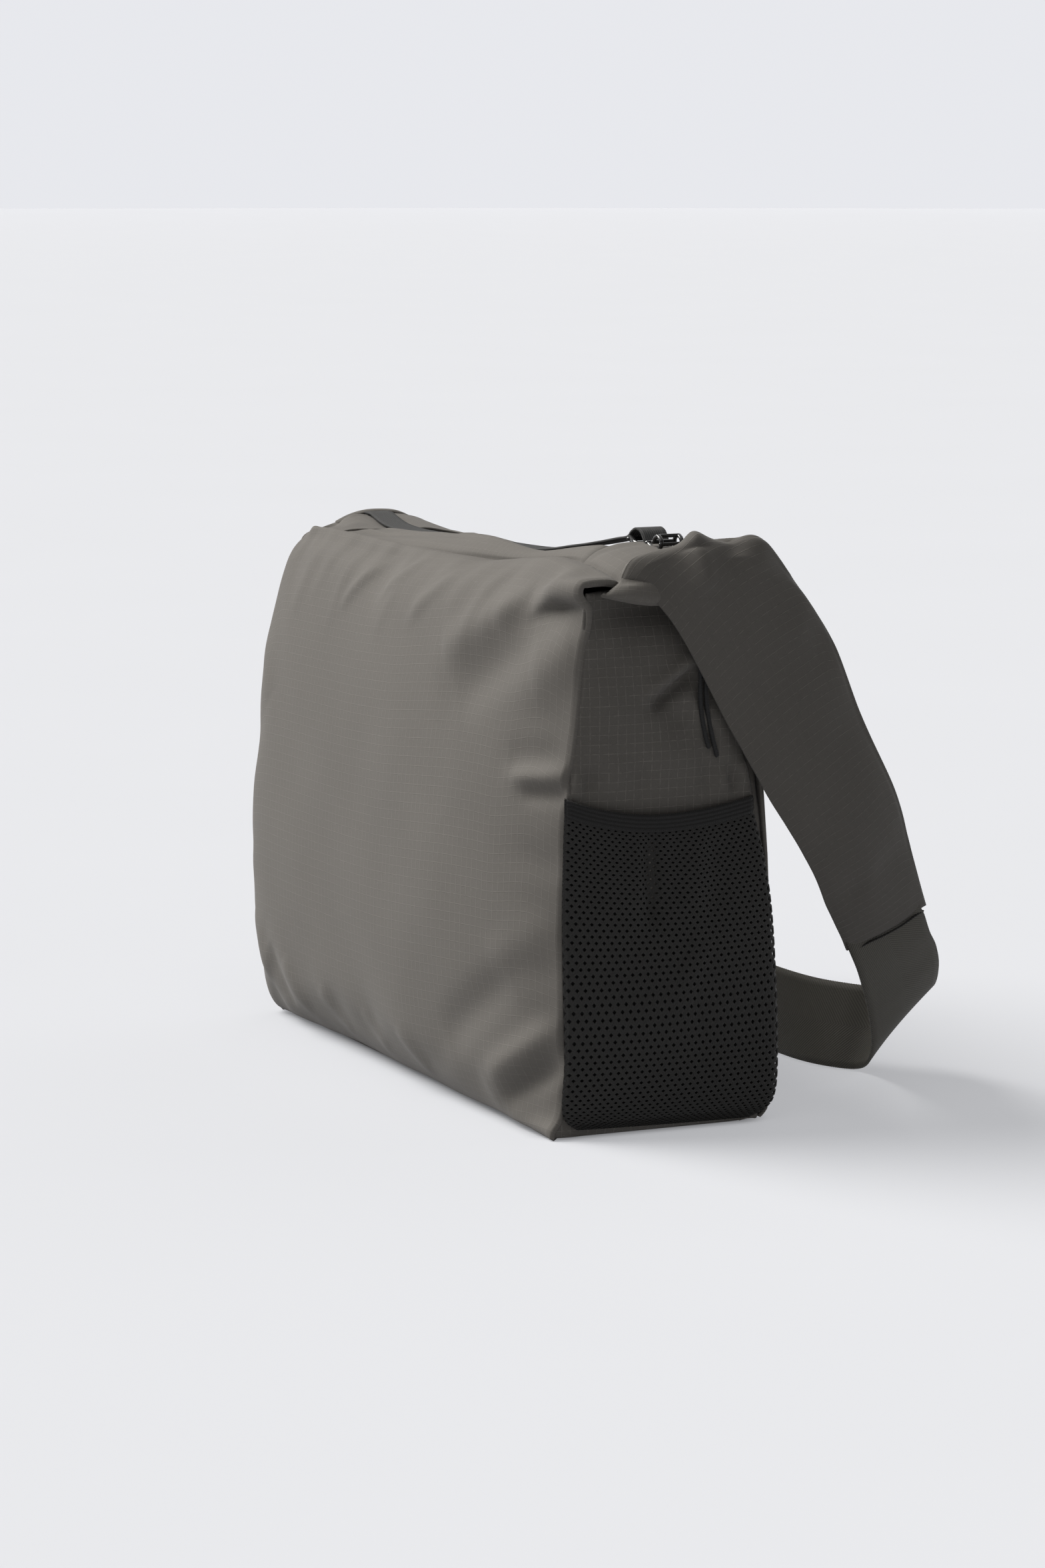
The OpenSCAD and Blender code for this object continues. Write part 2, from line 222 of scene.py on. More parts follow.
def shell(name, grid, thick, material, outward, uv=None, tuck=0.0):
    """A closed cloth shell whose outside is the grid, with rounded edges."""
    uv = flat(grid) if uv is None else uv
    n = normals(grid)
    if float((n.reshape(-1, 3) @ np.asarray(outward, float)).mean()) < 0:
        grid, uv, n = grid[::-1], uv[::-1], -normals(grid)[::-1]
    if tuck:
        grid = grid - n * (tuck * (1 - seam_fade(grid, SEAM_REACH)))[..., None]
        n = normals(grid)
    thick = np.broadcast_to(np.asarray(thick, float), grid.shape[:2])[..., None]
    nu, nv, _ = grid.shape
    inner = grid - n * thick
    idx = np.arange(nu * nv).reshape(nu, nv)
    edge = border(idx)
    mid = (grid - n * thick / 2).reshape(-1, 3)[edge]
    # the rim stands a little outside the two faces, in the direction the cloth runs
    inward = np.concatenate([idx[:, 1], idx[-2, 1:], idx[-2::-1, -2], idx[1, -2:0:-1]])
    flat_grid = grid.reshape(-1, 3)
    span = flat_grid[edge] - flat_grid[inward]
    span /= np.maximum(np.linalg.norm(span, axis=1, keepdims=True), 1e-9)
    mid = mid + span * thick.reshape(-1, 1)[edge] * 0.35
    verts = np.concatenate([grid.reshape(-1, 3), inner.reshape(-1, 3), mid])
    total = nu * nv
    ring = np.arange(len(edge)) + 2 * total
    edge_next, ring_next = np.roll(edge, -1), np.roll(ring, -1)
    faces = [grid_faces(idx), grid_faces(idx + total)[:, ::-1],
             np.stack([edge, ring, ring_next, edge_next], axis=1),
             np.stack([ring, edge + total, edge_next + total, ring_next], axis=1)]
    uv = uv.reshape(-1, 2)
    weave = np.concatenate([uv, uv, uv[edge]])
    return mesh_object(name, verts, np.concatenate(faces), material, weave)


def tube(name, path, radius, material, sides=12, profile=(1, 1), square=1.0):
    """A tube with domed ends. profile widens it both ways; square under 1 flattens its sides."""
    p = np.asarray(path, float)
    r = np.full(len(p), radius)
    t = np.gradient(p, axis=0)
    t /= np.linalg.norm(t, axis=1, keepdims=True)
    steps = np.array([1.0, 0.8, 0.45])  # how far out each ring of a dome stands, in radii
    head = p[0] - t[0] * radius * steps[:, None]
    tail = p[-1] + t[-1] * radius * steps[::-1, None]
    shrink = np.sqrt(1 - steps**2 + 1e-4)
    r = np.concatenate([radius * shrink, r, radius * shrink[::-1]])
    p = np.concatenate([head, p, tail])
    t = np.concatenate([np.repeat(t[:1], 3, 0), t, np.repeat(t[-1:], 3, 0)])
    side = np.cross(t[0], [0.1, 0.2, 1.0])
    if np.linalg.norm(side) < 0.3:
        side = np.cross(t[0], [1.0, 0, 0])
    rings = []
    angle = np.linspace(0, 2 * math.pi, sides, endpoint=False)
    ca, sa = np.cos(angle), np.sin(angle)
    ca, sa = np.sign(ca) * np.abs(ca) ** square, np.sign(sa) * np.abs(sa) ** square
    for k in range(len(p)):
        side = side - t[k] * (side @ t[k])
        side /= np.linalg.norm(side)
        up = np.cross(t[k], side)
        rings.append(p[k] + r[k] * (np.outer(ca * profile[0], side) + np.outer(sa * profile[1], up)))
    verts = np.concatenate(rings)
    n = len(p)
    idx = np.arange(n * sides).reshape(n, sides)
    faces = ring_faces(idx[:-1], idx[1:])
    faces = [tuple(f) for f in faces] + [tuple(idx[0][::-1]), tuple(idx[-1])]
    s = np.concatenate([[0], np.cumsum(np.linalg.norm(np.diff(p, axis=0), axis=1))])
    weave = np.stack([np.tile(angle, n) * np.repeat(r, sides), np.repeat(s, sides)], axis=1)
    return mesh_object(name, verts, faces, material, weave)


def hand(side):
    """The word for an end of the bag: 1 is the right one, -1 the left."""
    return "right" if side > 0 else "left"


def finish_piece(piece, body, slot, *nodes):
    """Says which body the piece moves with and which of the frame's pieces it hides. The slot is not used."""
    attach(piece, body)
    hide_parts(*nodes)
    return piece


def join(name, objects):
    """One object made of several."""
    for o in bpy.context.selected_objects:
        o.select_set(False)
    for o in objects:
        o.select_set(True)
    bpy.context.view_layer.objects.active = objects[0]
    bpy.ops.object.join()
    made = bpy.context.view_layer.objects.active
    made.name = name
    return made


CLOTH = {"quality": 6, "mass": 0.25, "tension_stiffness": 18, "compression_stiffness": 12,
         "shear_stiffness": 6, "bending_stiffness": 0.4, "air_damping": 4, "vertex_group_mass": "held",
         "use_pressure": True}


def settle(grid, outward, pressure, grow, cap, frames=20):
    """Lets a sheet billow as cloth, held along its edges, and returns where its points come to rest."""
    nu, nv, _ = grid.shape
    idx = np.arange(nu * nv).reshape(nu, nv)
    faces = grid_faces(idx)
    if float((normals(grid).reshape(-1, 3) @ np.asarray(outward, float)).mean()) < 0:
        faces = faces[:, ::-1]
    data = bpy.data.meshes.new("settling")
    data.from_pydata([tuple(v) for v in grid.reshape(-1, 3)], [], [tuple(f) for f in faces])
    obj = bpy.data.objects.new("settling", data)
    bpy.context.scene.collection.objects.link(obj)
    held = set(idx[0]) | set(idx[-1]) | set(idx[:, 0]) | set(idx[:, -1])
    pins = obj.vertex_groups.new(name="held")
    pins.add([int(i) for i in held], 1.0, "REPLACE")
    cloth = obj.modifiers.new("Cloth", "CLOTH")
    for key, value in CLOTH.items():
        setattr(cloth.settings, key, value)
    cloth.settings.shrink_min = -grow
    cloth.settings.uniform_pressure_force = pressure
    cloth.settings.effector_weights.gravity = 0
    cloth.point_cache.frame_start = 1
    cloth.point_cache.frame_end = frames
    scene = bpy.context.scene
    for f in range(1, frames + 1):
        scene.frame_set(f)
    done = obj.evaluated_get(bpy.context.evaluated_depsgraph_get())
    co = np.zeros(nu * nv * 3)
    done.data.vertices.foreach_get("co", co)
    move = co.reshape(nu, nv, 3) - grid
    length = np.linalg.norm(move, axis=2, keepdims=True)
    move *= cap * np.tanh(length / cap) / np.maximum(length, 1e-9)
    for _ in range(3):  # evens out the small waves that one simulation step leaves between points
        relax(move)
        relax(move.transpose(1, 0, 2))
    bpy.data.objects.remove(obj)
    bpy.data.meshes.remove(data)
    scene.frame_set(1)
    return grid + move


# ---------------------------------------------------------------- materials


class Shader:
    """Builds one Principled material from nodes."""

    def __init__(self, name, base, roughness):
        self.material = bpy.data.materials.new(name)
        self.material.use_nodes = True
        self.nodes = self.material.node_tree.nodes
        self.links = self.material.node_tree.links
        self.bsdf = self.nodes["Principled BSDF"]
        self.bsdf.inputs["Roughness"].default_value = roughness
        self.bsdf.inputs["Base Color"].default_value = (*base, 1)
        self.material.diffuse_color = (*base, 1)
        self.base = base
        self.height = None

    def node(self, kind, **values):
        """A new node with its settings."""
        made = self.nodes.new(kind)
        for key, value in values.items():
            setattr(made, key, value)
        return made

    def math(self, operation, a, b=None, c=None, clamp=False):
        """A sum of sockets or numbers."""
        made = self.node("ShaderNodeMath", operation=operation, use_clamp=clamp)
        for socket, value in zip(made.inputs, (a, b, c)):
            if value is None:
                continue
            if isinstance(value, (int, float)):
                socket.default_value = value
            else:
                self.links.new(value, socket)
        return made.outputs[0]

    def gloss(self, **values):
        """Plain values, straight on the shader: sheen_weight=0.1 sets Sheen Weight."""
        for key, value in values.items():
            self.bsdf.inputs[key.replace("_", " ").title().replace("Ior", "IOR")].default_value = value

    def place(self):
        """The place on the object itself, as a vector."""
        return self.node("ShaderNodeTexCoord").outputs["Object"]

    def weave(self):
        """The place on the flat cloth: (across, along) sockets and the vector."""
        attribute = self.node("ShaderNodeAttribute", attribute_name="weave")
        split = self.node("ShaderNodeSeparateXYZ")
        self.links.new(attribute.outputs["Vector"], split.inputs[0])
        return split.outputs[0], split.outputs[1], attribute.outputs["Vector"]

    def thread(self, place, pitch, width):
        """1 on thin lines that repeat every pitch, 0 between them."""
        part = self.math("FRACT", self.math("DIVIDE", place, pitch))
        off = self.math("ABSOLUTE", self.math("SUBTRACT", part, 0.5))
        return self.ramp(off, 0.5 - width / pitch, 0.5 - 0.3 * width / pitch, smooth=True)

    def wave(self, place, pitch):
        """A rounded rib every pitch, from 0 to 1."""
        turn = self.math("MULTIPLY", place, 2 * math.pi / pitch)
        return self.math("MULTIPLY", self.math("ADD", self.math("SINE", turn), 1.0), 0.5)

    def noise(self, vector, scale, detail=3.0):
        """Uneven values between 0 and 1, finer for a higher scale."""
        made = self.node("ShaderNodeTexNoise")
        made.inputs["Scale"].default_value = scale
        made.inputs["Detail"].default_value = detail
        self.links.new(vector, made.inputs["Vector"])
        return made.outputs["Fac"]

    def ramp(self, value, start=0.0, stop=1.0, low=0.0, high=1.0, smooth=False):
        """low where the value is at start, high where it is at stop."""
        made = self.node("ShaderNodeMapRange", interpolation_type="SMOOTHSTEP" if smooth else "LINEAR")
        self.links.new(value, made.inputs["Value"])
        for key, limit in zip(("From Min", "From Max", "To Min", "To Max"), (start, stop, low, high)):
            made.inputs[key].default_value = limit
        return made.outputs["Result"]

    def paint(self, *tints):
        """The base colour, times low to high as each tint's value goes from 0 to 1."""
        total = 1.0
        for value, low, high in tints:
            total = self.math("MULTIPLY", self.ramp(value, low=low, high=high), total)
        scale = self.node("ShaderNodeVectorMath", operation="SCALE")
        scale.inputs[0].default_value = self.base
        self.links.new(total, scale.inputs["Scale"])
        self.links.new(scale.outputs[0], self.bsdf.inputs["Base Color"])

    def bump(self, height, distance, strength):
        """Raises the surface by the height, on top of the bumps before it."""
        made = self.node("ShaderNodeBump")
        made.inputs["Distance"].default_value = distance
        made.inputs["Strength"].default_value = strength
        self.links.new(height, made.inputs["Height"])
        if self.height is not None:
            self.links.new(self.height, made.inputs["Normal"])
        self.height = made.outputs["Normal"]
        self.links.new(self.height, self.bsdf.inputs["Normal"])


RIPSTOP_PITCH = 5.2 * MM
RIPSTOP_THREAD = 0.32 * MM


def ripstop(name, base, lift, thread_highlight, lengthwise=1.0):
    """Plain-woven taupe cloth with a raised thread every few millimetres both ways."""
    s = Shader(name, base, 0.78)
    across, along, place = s.weave()
    s.gloss(sheen_weight=0.06, sheen_roughness=0.45, specular_ior_level=0.13)
    grid = s.math("MAXIMUM", s.math("MULTIPLY", s.thread(across, RIPSTOP_PITCH, RIPSTOP_THREAD), lengthwise),
                  s.thread(along, RIPSTOP_PITCH, RIPSTOP_THREAD))
    patchy = s.math("MULTIPLY_ADD", s.noise(place, 420.0, 3.0), 3.2, clamp=True, c=-1.0)
    thread = s.math("MULTIPLY", grid, patchy)
    fine = s.noise(place, 2600.0, 2.0)
    cloudy = s.noise(place, 16.0, 4.0)
    # The raised threads are painted lighter, as painted highlight along them; the fine and cloudy tints vary
    # at random.
    s.paint((thread, 1.0, thread_highlight), (fine, 0.80, 1.20), (cloudy, 0.92, 1.08))
    s.bump(fine, 0.05 * MM, 0.6)
    s.bump(grid, lift, 0.8)
    yarns = s.math("MULTIPLY", s.wave(across, 0.42 * MM), s.wave(along, 0.42 * MM))
    s.bump(yarns, 0.04 * MM, 0.5)
    return s.material


def ribbed(name, base, pitch, depth, along_ribs=True):
    """Narrow ribs, as on elastic tape or plain webbing."""
    s = Shader(name, base, 0.7)
    across, along, place = s.weave()
    s.gloss(sheen_weight=0.03, specular_ior_level=0.22)
    rib = s.wave(along if along_ribs else across, pitch)
    stitch = s.wave(across if along_ribs else along, pitch * 0.55)
    fine = s.noise(place, 2200.0, 2.0)
    # The rib tint is painted shade in the grooves and painted highlight on the crests; the fine tint varies
    # at random.
    s.paint((rib, 0.75, 1.25), (fine, 0.8, 1.2))
    s.bump(rib, depth, 0.9)
    s.bump(s.math("MULTIPLY", rib, stitch), depth * 0.6, 0.6)
    return s.material


def herringbone(name, base, pitch):
    """Twill that changes direction at the middle of the strap."""
    s = Shader(name, base, 0.62)
    across, along, place = s.weave()
    s.gloss(sheen_weight=0.03, specular_ior_level=0.12)
    half = s.math("PINGPONG", s.math("DIVIDE", across, STRAP_HALF), 1.0)
    slant = s.math("ADD", along, s.math("MULTIPLY", half, STRAP_HALF * 0.9))
    rib = s.wave(slant, pitch)
    yarn = s.wave(across, pitch * 0.5)
    fine = s.noise(place, 2400.0, 2.0)
    # The twill's rib tint is painted shade in its grooves and painted highlight on its crests; the fine tint
    # varies at random.
    s.paint((rib, 0.78, 1.22), (fine, 0.82, 1.18))
    s.bump(rib, 0.16 * MM, 0.9)
    s.bump(yarn, 0.05 * MM, 0.5)
    return s.material


def knit(name, base):
    """Stiff dark yarn of the spacer mesh, with a slight shine."""
    s = Shader(name, base, 0.5)
    across, along, place = s.weave()
    s.gloss(specular_ior_level=0.2, sheen_weight=0.04)
    fine = s.noise(place, 1500.0, 3.0)
    twist = s.wave(s.math("ADD", across, along), 0.5 * MM)
    # The twist tint is painted shade in the yarn's grooves and painted highlight on its crests; the fine tint
    # varies at random.
    s.paint((fine, 0.7, 1.3), (twist, 0.85, 1.15))
    s.bump(twist, 0.07 * MM, 0.8)
    return s.material


def moulded(name, base, roughness, coat=0.0):
    """Moulded plastic or enamel with slight unevenness in its gloss."""
    s = Shader(name, base, roughness)
    blotch = s.noise(s.place(), 220.0)
    s.links.new(s.ramp(blotch, low=roughness * 0.75, high=roughness * 1.35), s.bsdf.inputs["Roughness"])
    s.gloss(coat_weight=coat)
    s.paint((blotch, 0.85, 1.15))
    s.bump(s.noise(s.place(), 1800.0, 2.0), 0.015 * MM, 0.4)
    return s.material


def foam(name, base):
    """Matt open-celled foam."""
    s = Shader(name, base, 0.9)
    cells = s.noise(s.place(), 900.0)
    s.paint((cells, 0.8, 1.2))
    s.bump(cells, 0.2 * MM, 0.6)
    return s.material


STRAP_HALF = 25 * MM
TAUPE = (0.0825, 0.0766, 0.0686)
cloth = ripstop("ripstop", TAUPE, lift=0.07 * MM, thread_highlight=1.20)
# The same ripstop with its base colour scaled down as painted shade, for the side panels and the base.
cloth_painted_shade = ripstop("ripstop_side_painted_shade", [0.84 * c for c in TAUPE], lift=0.12 * MM, thread_highlight=1.55)
# The same ripstop again, darker still as painted shade, for the strap's sleeve and its tab.
cloth_strap_painted_shade = ripstop("ripstop_strap_painted_shade", [0.78 * c for c in TAUPE], lift=0.16 * MM, thread_highlight=1.45,
                      lengthwise=0.25)
elastic = ribbed("elastic", (0.0085, 0.0082, 0.0078), 2.3 * MM, 0.45 * MM)
tape_cloth = ribbed("zip_tape", (0.014, 0.014, 0.014), 1.0 * MM, 0.08 * MM)
webbing_black = ribbed("webbing_black", (0.016, 0.016, 0.0155), 1.3 * MM, 0.2 * MM, along_ribs=False)
webbing_olive = herringbone("webbing_strap", (0.060, 0.0565, 0.048), 1.9 * MM)
mesh_yarn = knit("mesh_yarn", (0.0145, 0.0138, 0.0126))
# A near-black sheet behind the mesh: painted shade in its holes.
mesh_liner_painted_shade = foam("mesh_liner_painted_shade", (0.002, 0.002, 0.002))
thread_dark = ribbed("thread_dark", (0.012, 0.0115, 0.010), 0.6 * MM, 0.05 * MM)
buckle_black = moulded("buckle_black", (0.012, 0.012, 0.012), 0.22, coat=0.3)
coil_black = moulded("coil_black", (0.014, 0.014, 0.014), 0.35)
enamel = moulded("enamel_black", (0.012, 0.012, 0.012), 0.3, coat=0.4)
cord_black = ribbed("cord_black", (0.012, 0.012, 0.012), 0.9 * MM, 0.06 * MM)
board_black = moulded("board_black", (0.03, 0.03, 0.03), 0.5)
foam_grey = foam("foam_grey", (0.16, 0.16, 0.16))

# ---------------------------------------------------------------- sizes taken from the frame

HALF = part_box("front_panel")[1].x
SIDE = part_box("gusset_right")[1].x
MOUTH_LEFT, MOUTH_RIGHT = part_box("front_lip")[0].x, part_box("front_lip")[1].x
LIP_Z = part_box("front_lip")[1].z
MESH_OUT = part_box("mesh_pocket_right")[1].x


# ---------------------------------------------------------------- body panels

# The front's outline in the YZ plane at the middle and along the side seam, from the base up (mm).
FRONT_MIDDLE = [(-63, 2), (-71, 4), (-80, 16), (-85, 45), (-87, 90), (-86, 140), (-82, 190), (-75.5, 235),
                (-68, 270), (-61.5, 291), (-54, 302)]
FRONT_SEAM = [(-66, 1.2), (-66, 5), (-60, 15), (-57.5, 40), (-58.5, 90), (-59, 140), (-57, 185),
              (-51.5, 228), (-47.5, 264), (-44.8, 286), (-43.5, 297)]
# The seam between the front and the top, from the left end to the right: X, Y, Z (mm).
TOP_SEAM = [(-207, -50, 291), (-202, -50, 297.5), (-194, -49.5, 302), (-176, -48.5, 305.2),
            (-147, -47, 306), (-98, -46, 306.5), (-42, -44, 306.5), (14, -38, 305.5), (60, -29, 306),
            (100, -23, 310), (135, -22, 313.5), (168, -25, 313), (192, -27, 310.5), (205.5, -25, 306.5)]


def at_x(table, x, column):
    """A table's column at the given X."""
    rows = mm(table)
    return np.interp(x, rows[:, 0], rows[:, column])


def front_panel():
    """The big puffed front: full round its left edge, turning away slowly towards the right one."""
    nu, nv = 96, 78
    s = spread(nu, 0.5)
    middle, seam = mm(FRONT_MIDDLE), mm(FRONT_SEAM)
    inside = np.where(s < 0, (1 - np.abs(s) ** 6.5) ** (1 / 6.5), (1 - np.abs(s) ** 2.3) ** 0.85)
    x = s * (HALF + 2.5 * MM)
    rows = []
    for i in range(nu):
        w = inside[i]
        outline = seam * (1 - w) + middle * w
        top = np.array([at_x(TOP_SEAM, x[i], 1), at_x(TOP_SEAM, x[i], 2)])
        outline = outline[outline[:, 1] < top[1] + 1 * MM]
        rise = (2.5 * w - 3.0 * (1 - w)) * MM
        crest = np.array([(outline[-1][0] + top[0]) / 2, max(top[1] + rise, outline[-1][1] + 2.5 * MM)])
        row = even(np.vstack([outline[:-1], top] if x[i] < -185 * MM else [outline, crest, top]), nv)
        over = smoothstep((s[i] - 0.70) / 0.22)
        if over > 0:  # near the strap the top bulges out over the panel, with a deep fold under it
            y = float(np.interp(288 * MM, outline[:, 1], outline[:, 0])) / MM
            soft = 1 - max(0.0, (s[i] - 0.9) / 0.1)
            lower = outline[outline[:, 1] < 270 * MM]
            fold = mm([(y + 3 * soft, 283), (y + 5.5 * soft, 289), (y - 0.5 + 7 * soft, 293.5),
                       (y - 2 + 2 * soft, 295.5), (y - 3.5, 298), (y - 4.5, 302), (y - 1.5, 307.5)])
            brow = [crest[0] + 2 * MM, max(crest[1], 308.5 * MM)]
            bend = even(np.vstack([lower, fold, brow, top]), nv)
            row = row * (1 - over) + bend * over
        rows.append(row)
    yz = np.array(rows)
    for _ in range(3):  # neighbouring outlines follow each other smoothly
        relax(yz)
    t = np.linspace(0, 1, nv)[None, :]
    edge = np.exp(-(((np.abs(s) - 0.965) / 0.05) ** 2))[:, None]
    edge = edge * np.sin(np.clip(t * 1.02, 0, 1) * math.pi) ** 0.45
    puff = np.where(s[:, None] < 0, 10 * MM, 1.5 * MM)
    grid = np.zeros((nu, nv, 3))
    grid[..., 0] = x[:, None] + np.sign(s)[:, None] * edge * puff
    grid[..., 1:] = yz
    grid = settle(grid, (0, -1, 0), pressure=2.5, grow=0.012, cap=4 * MM)
    grid = refine(grid, 2)
    uv = flat(grid)
    w, _ = extent(uv)
    place = uv.copy()
    for i in range(len(grid)):  # heights counted along the cloth from 250 mm above the floor
        arc = np.concatenate([[0], np.cumsum(np.linalg.norm(np.diff(grid[i], axis=0), axis=1))])
        k = int(np.argmax(grid[i, :, 2] > 250 * MM))
        place[i, :, 1] = arc - arc[k] + grid[i, k, 2]
    strokes = []
    r = np.random.default_rng(4)
    u = 16
    while u < w - 90:  # gathers under the top seam
        top = 318
        fall = r.uniform(24, 62)
        lean = r.uniform(0.15, 0.5) * fall
        strokes.append((u, top, u - lean, top - fall, r.uniform(6, 9), r.uniform(0.4, 0.9)))
        if r.uniform() > 0.4:
            strokes.append((u + 10, top, u + 6 - lean * 0.5, top - 0.7 * fall, 6, r.uniform(-0.7, -0.3)))
        u += r.uniform(17, 40)
    strokes += [
        # long soft ridges that fall from the gathers
        (w - 250, 306, w - 292, 268, 5, 1.6),
        (w - 205, 306, w - 236, 282, 5, 1.3),
        (w - 150, 304, w - 186, 272, 6, 1.6),
        # the pinched corner under the strap: bulge, deep fold, hollow, and the ridge that runs down from it
        (w - 58, 299, w - 86, 281, 10, 3.8),
        (w - 82, 284, w - 136, 258, 14, 3.6),
        (w - 40, 276, w - 112, 234, 16, -3.6),
        (w - 6, 270, w - 40, 252, 14, 2.0),
        # the pinch beside the pocket's top
        (w + 2, 201, w - 46, 197, 5.5, 3.0),
        (w + 2, 191, w - 34, 188, 5, -2.6),
        (w - 4, 214, w - 50, 208, 9, -1.6),
        # folds from the base's corners
        (w - 2, 62, w - 64, 26, 9, 4),
        (w - 2, 40, w - 52, 12, 7, -4),
        (w - 40, 84, w - 110, 40, 13, -3.0),
        (w - 3, 120, w - 60, 92, 12, 1.6),
        (60, 14, 26, 66, 10, 2.4),
        (84, 12, 60, 50, 8, -1.6),
        (110, 12, 84, 44, 9, 1.8),
        (170, 10, 140, 36, 9, 1.6),
        (230, 10, 204, 34, 8, 1.3),
        (290, 10, 262, 34, 8, 1.3),
        (8, 250, 50, 200, 14, 2),
        (4, 150, 40, 190, 12, -1.6),
    ]
    grid = crease(grid, place, strokes)
    grid = ripple(grid, uv, 0.09, 0.8 * MM, 2)
    piece = shell("front_cover", grid, 4 * MM, cloth, (0, -1, 0), uv, tuck=SEAM_TUCK)
    return finish_piece(piece, "bag", "ripstop", "front_panel")


# The side panel's two seams, from the base up: Y and Z (mm).
SIDE_FRONT = [(-65, 1.5), (-65, 5), (-59, 15), (-56.5, 40), (-57.5, 90), (-58, 140), (-56, 185),
              (-50.5, 228), (-46.5, 264), (-43.8, 286), (-42, 300)]
SIDE_BACK = [(62, 2), (64, 14), (66, 45), (66, 90), (64, 140), (58.5, 185), (53, 205), (46, 226), (41, 248),
             (40, 275), (41, 300)]


def gusset(side):
    """The side panel, from front to back and from the base up, drawn in under the top."""
    nu, nv = 46, 92
    yz = between(even(mm(SIDE_FRONT), nv), even(mm(SIDE_BACK), nv), nu)
    y, z = yz[..., 0] / MM, yz[..., 1] / MM
    t = np.linspace(0, 1, nu)[:, None] * np.ones((1, nv))
    swell = np.sin(t * math.pi) ** 0.7
    rise = np.clip((z - 150) / 150, 0, 1)
    x = SIDE / MM - 1.0 + swell * (1.2 - 5.5 * rise**2)
    x -= 9.0 * np.exp(-(((z - 293) / 12) ** 2)) * swell  # drawn in under the flap at the top
    x += 2.2 * np.exp(-(((z - 222) / 34) ** 2)) * np.exp(-((t - 0.32) / 0.3) ** 2)
    grid = np.stack([side * x * MM, yz[..., 0], yz[..., 1]], axis=2)
    grid = settle(grid, (side, 0, 0), pressure=1.0, grow=0.008, cap=2.5 * MM)
    grid = refine(grid, 2)
    y, z = grid[..., 1], grid[..., 2]
    place = np.stack([y, z], axis=2)
    strokes = [
        (-44, 192, -40, 206, 4.5, -2.6),
        (-50, 188, -49, 204, 4, 2.0),
        (-30, 190, -26, 212, 7, 1.8),
        (-10, 190, -12, 206, 5, -1.6),
        (26, 190, 30, 206, 5, -1.8),
        (46, 188, 44, 200, 4, -2.8),
        (38, 188, 36, 202, 4, 2.2),
        (52, 190, 50, 206, 4, 2.2),
    ]
    if side > 0:
        strokes += [
            # the fold that hangs from the zip's end, lit on its top and dark beneath
            (28, 268, -8, 245, 4.6, 6.0),
            (22, 256, -6, 236, 4.6, -6.0),
            (0, 242, 16, 226, 9, -3.2),
            (14, 246, 30, 222, 5, 2.6),
            (30, 240, 44, 204, 8, 3.0),
            (-40, 262, -26, 226, 12, 2.4),
            (-6, 212, 24, 206, 9, 2.0),
        ]
    else:
        strokes += [(20, 262, -14, 236, 9, 2.6), (-24, 268, 2, 240, 8, -2.0)]
    # the left grid's normals point inwards
    grid = crease(grid, place, [(*stroke[:5], side * stroke[5]) for stroke in strokes])
    uv = np.stack([place[..., 0] + 0.1, place[..., 1]], axis=2)
    # the side's cloth is the ripstop darkened as painted shade
    piece = shell(f"side_cover_{hand(side)}", grid, 2.6 * MM, cloth_painted_shade, (side, 0, 0), uv, tuck=SEAM_TUCK)
    return finish_piece(piece, "bag", "ripstop", f"gusset_{hand(side)}")


# ---------------------------------------------------------------- side pockets

POCKET_FRONT = [(-50, 5.5), (-58.5, 15), (-57.5, 45), (-58.5, 90), (-59, 130), (-58.5, 160), (-57.5, 184)]
POCKET_BACK = [(56, 3.5), (71, 13), (73.5, 45), (71.5, 90), (68.5, 125), (63, 155), (56, 179)]
POCKET_SAG = 9 * MM


def pocket_sheet(side):
    """The pocket's surface, from front to back and from the base up, standing off the side panel."""
    nu, nv = 60, 80
    yz = between(curve(mm(POCKET_FRONT), nv), curve(mm(POCKET_BACK), nv), nu)
    t = np.linspace(0, 1, nu)[:, None]
    up = np.linspace(0, 1, nv)[None, :]
    yz[..., 1] -= POCKET_SAG * np.sin(t ** 0.85 * math.pi) * up ** 3
    z = yz[..., 1] / MM
    swell = np.clip(np.sin(t * math.pi), 0, 1) ** 0.45 * np.ones_like(z)
    low = np.clip((z - 9) / 18, 0, 1) ** 0.5
    reach = (MESH_OUT - SIDE) / MM
    x = SIDE / MM + 0.6 + (reach - 1.5) * swell * (0.25 + 0.75 * low)
    x += 2.0 * swell * np.exp(-(((z - 60) / 60) ** 2))
    grid = np.stack([x * MM, yz[..., 0], yz[..., 1]], axis=2)
    folds = [
        (-8, 172, -6, 120, 6, -4.4),
        (-16, 172, -17, 126, 5, 1.8),
        (6, 170, 10, 128, 8, -1.6),
        (20, 170, 18, 126, 7, 1.8),
        (34, 170, 34, 122, 8, -1.6),
        (-44, 176, -40, 130, 8, -1.2),
        (10, 96, 24, 90, 16, 1.6),
        (-30, 60, 20, 66, 22, 1.6),
    ]
    grid = crease(grid, yz, folds)
    grid[..., 0] *= side
    return grid


def sample(grid, u, v):
    """Points of a grid at shares u and v of its two sides."""
    nu, nv, _ = grid.shape
    a, b = np.clip(u, 0, 1) * (nu - 1), np.clip(v, 0, 1) * (nv - 1)
    i, j = np.minimum(a.astype(int), nu - 2), np.minimum(b.astype(int), nv - 2)
    f, g = (a - i)[..., None], (b - j)[..., None]
    return (grid[i, j] * (1 - f) * (1 - g) + grid[i + 1, j] * f * (1 - g)
            + grid[i, j + 1] * (1 - f) * g + grid[i + 1, j + 1] * f * g)


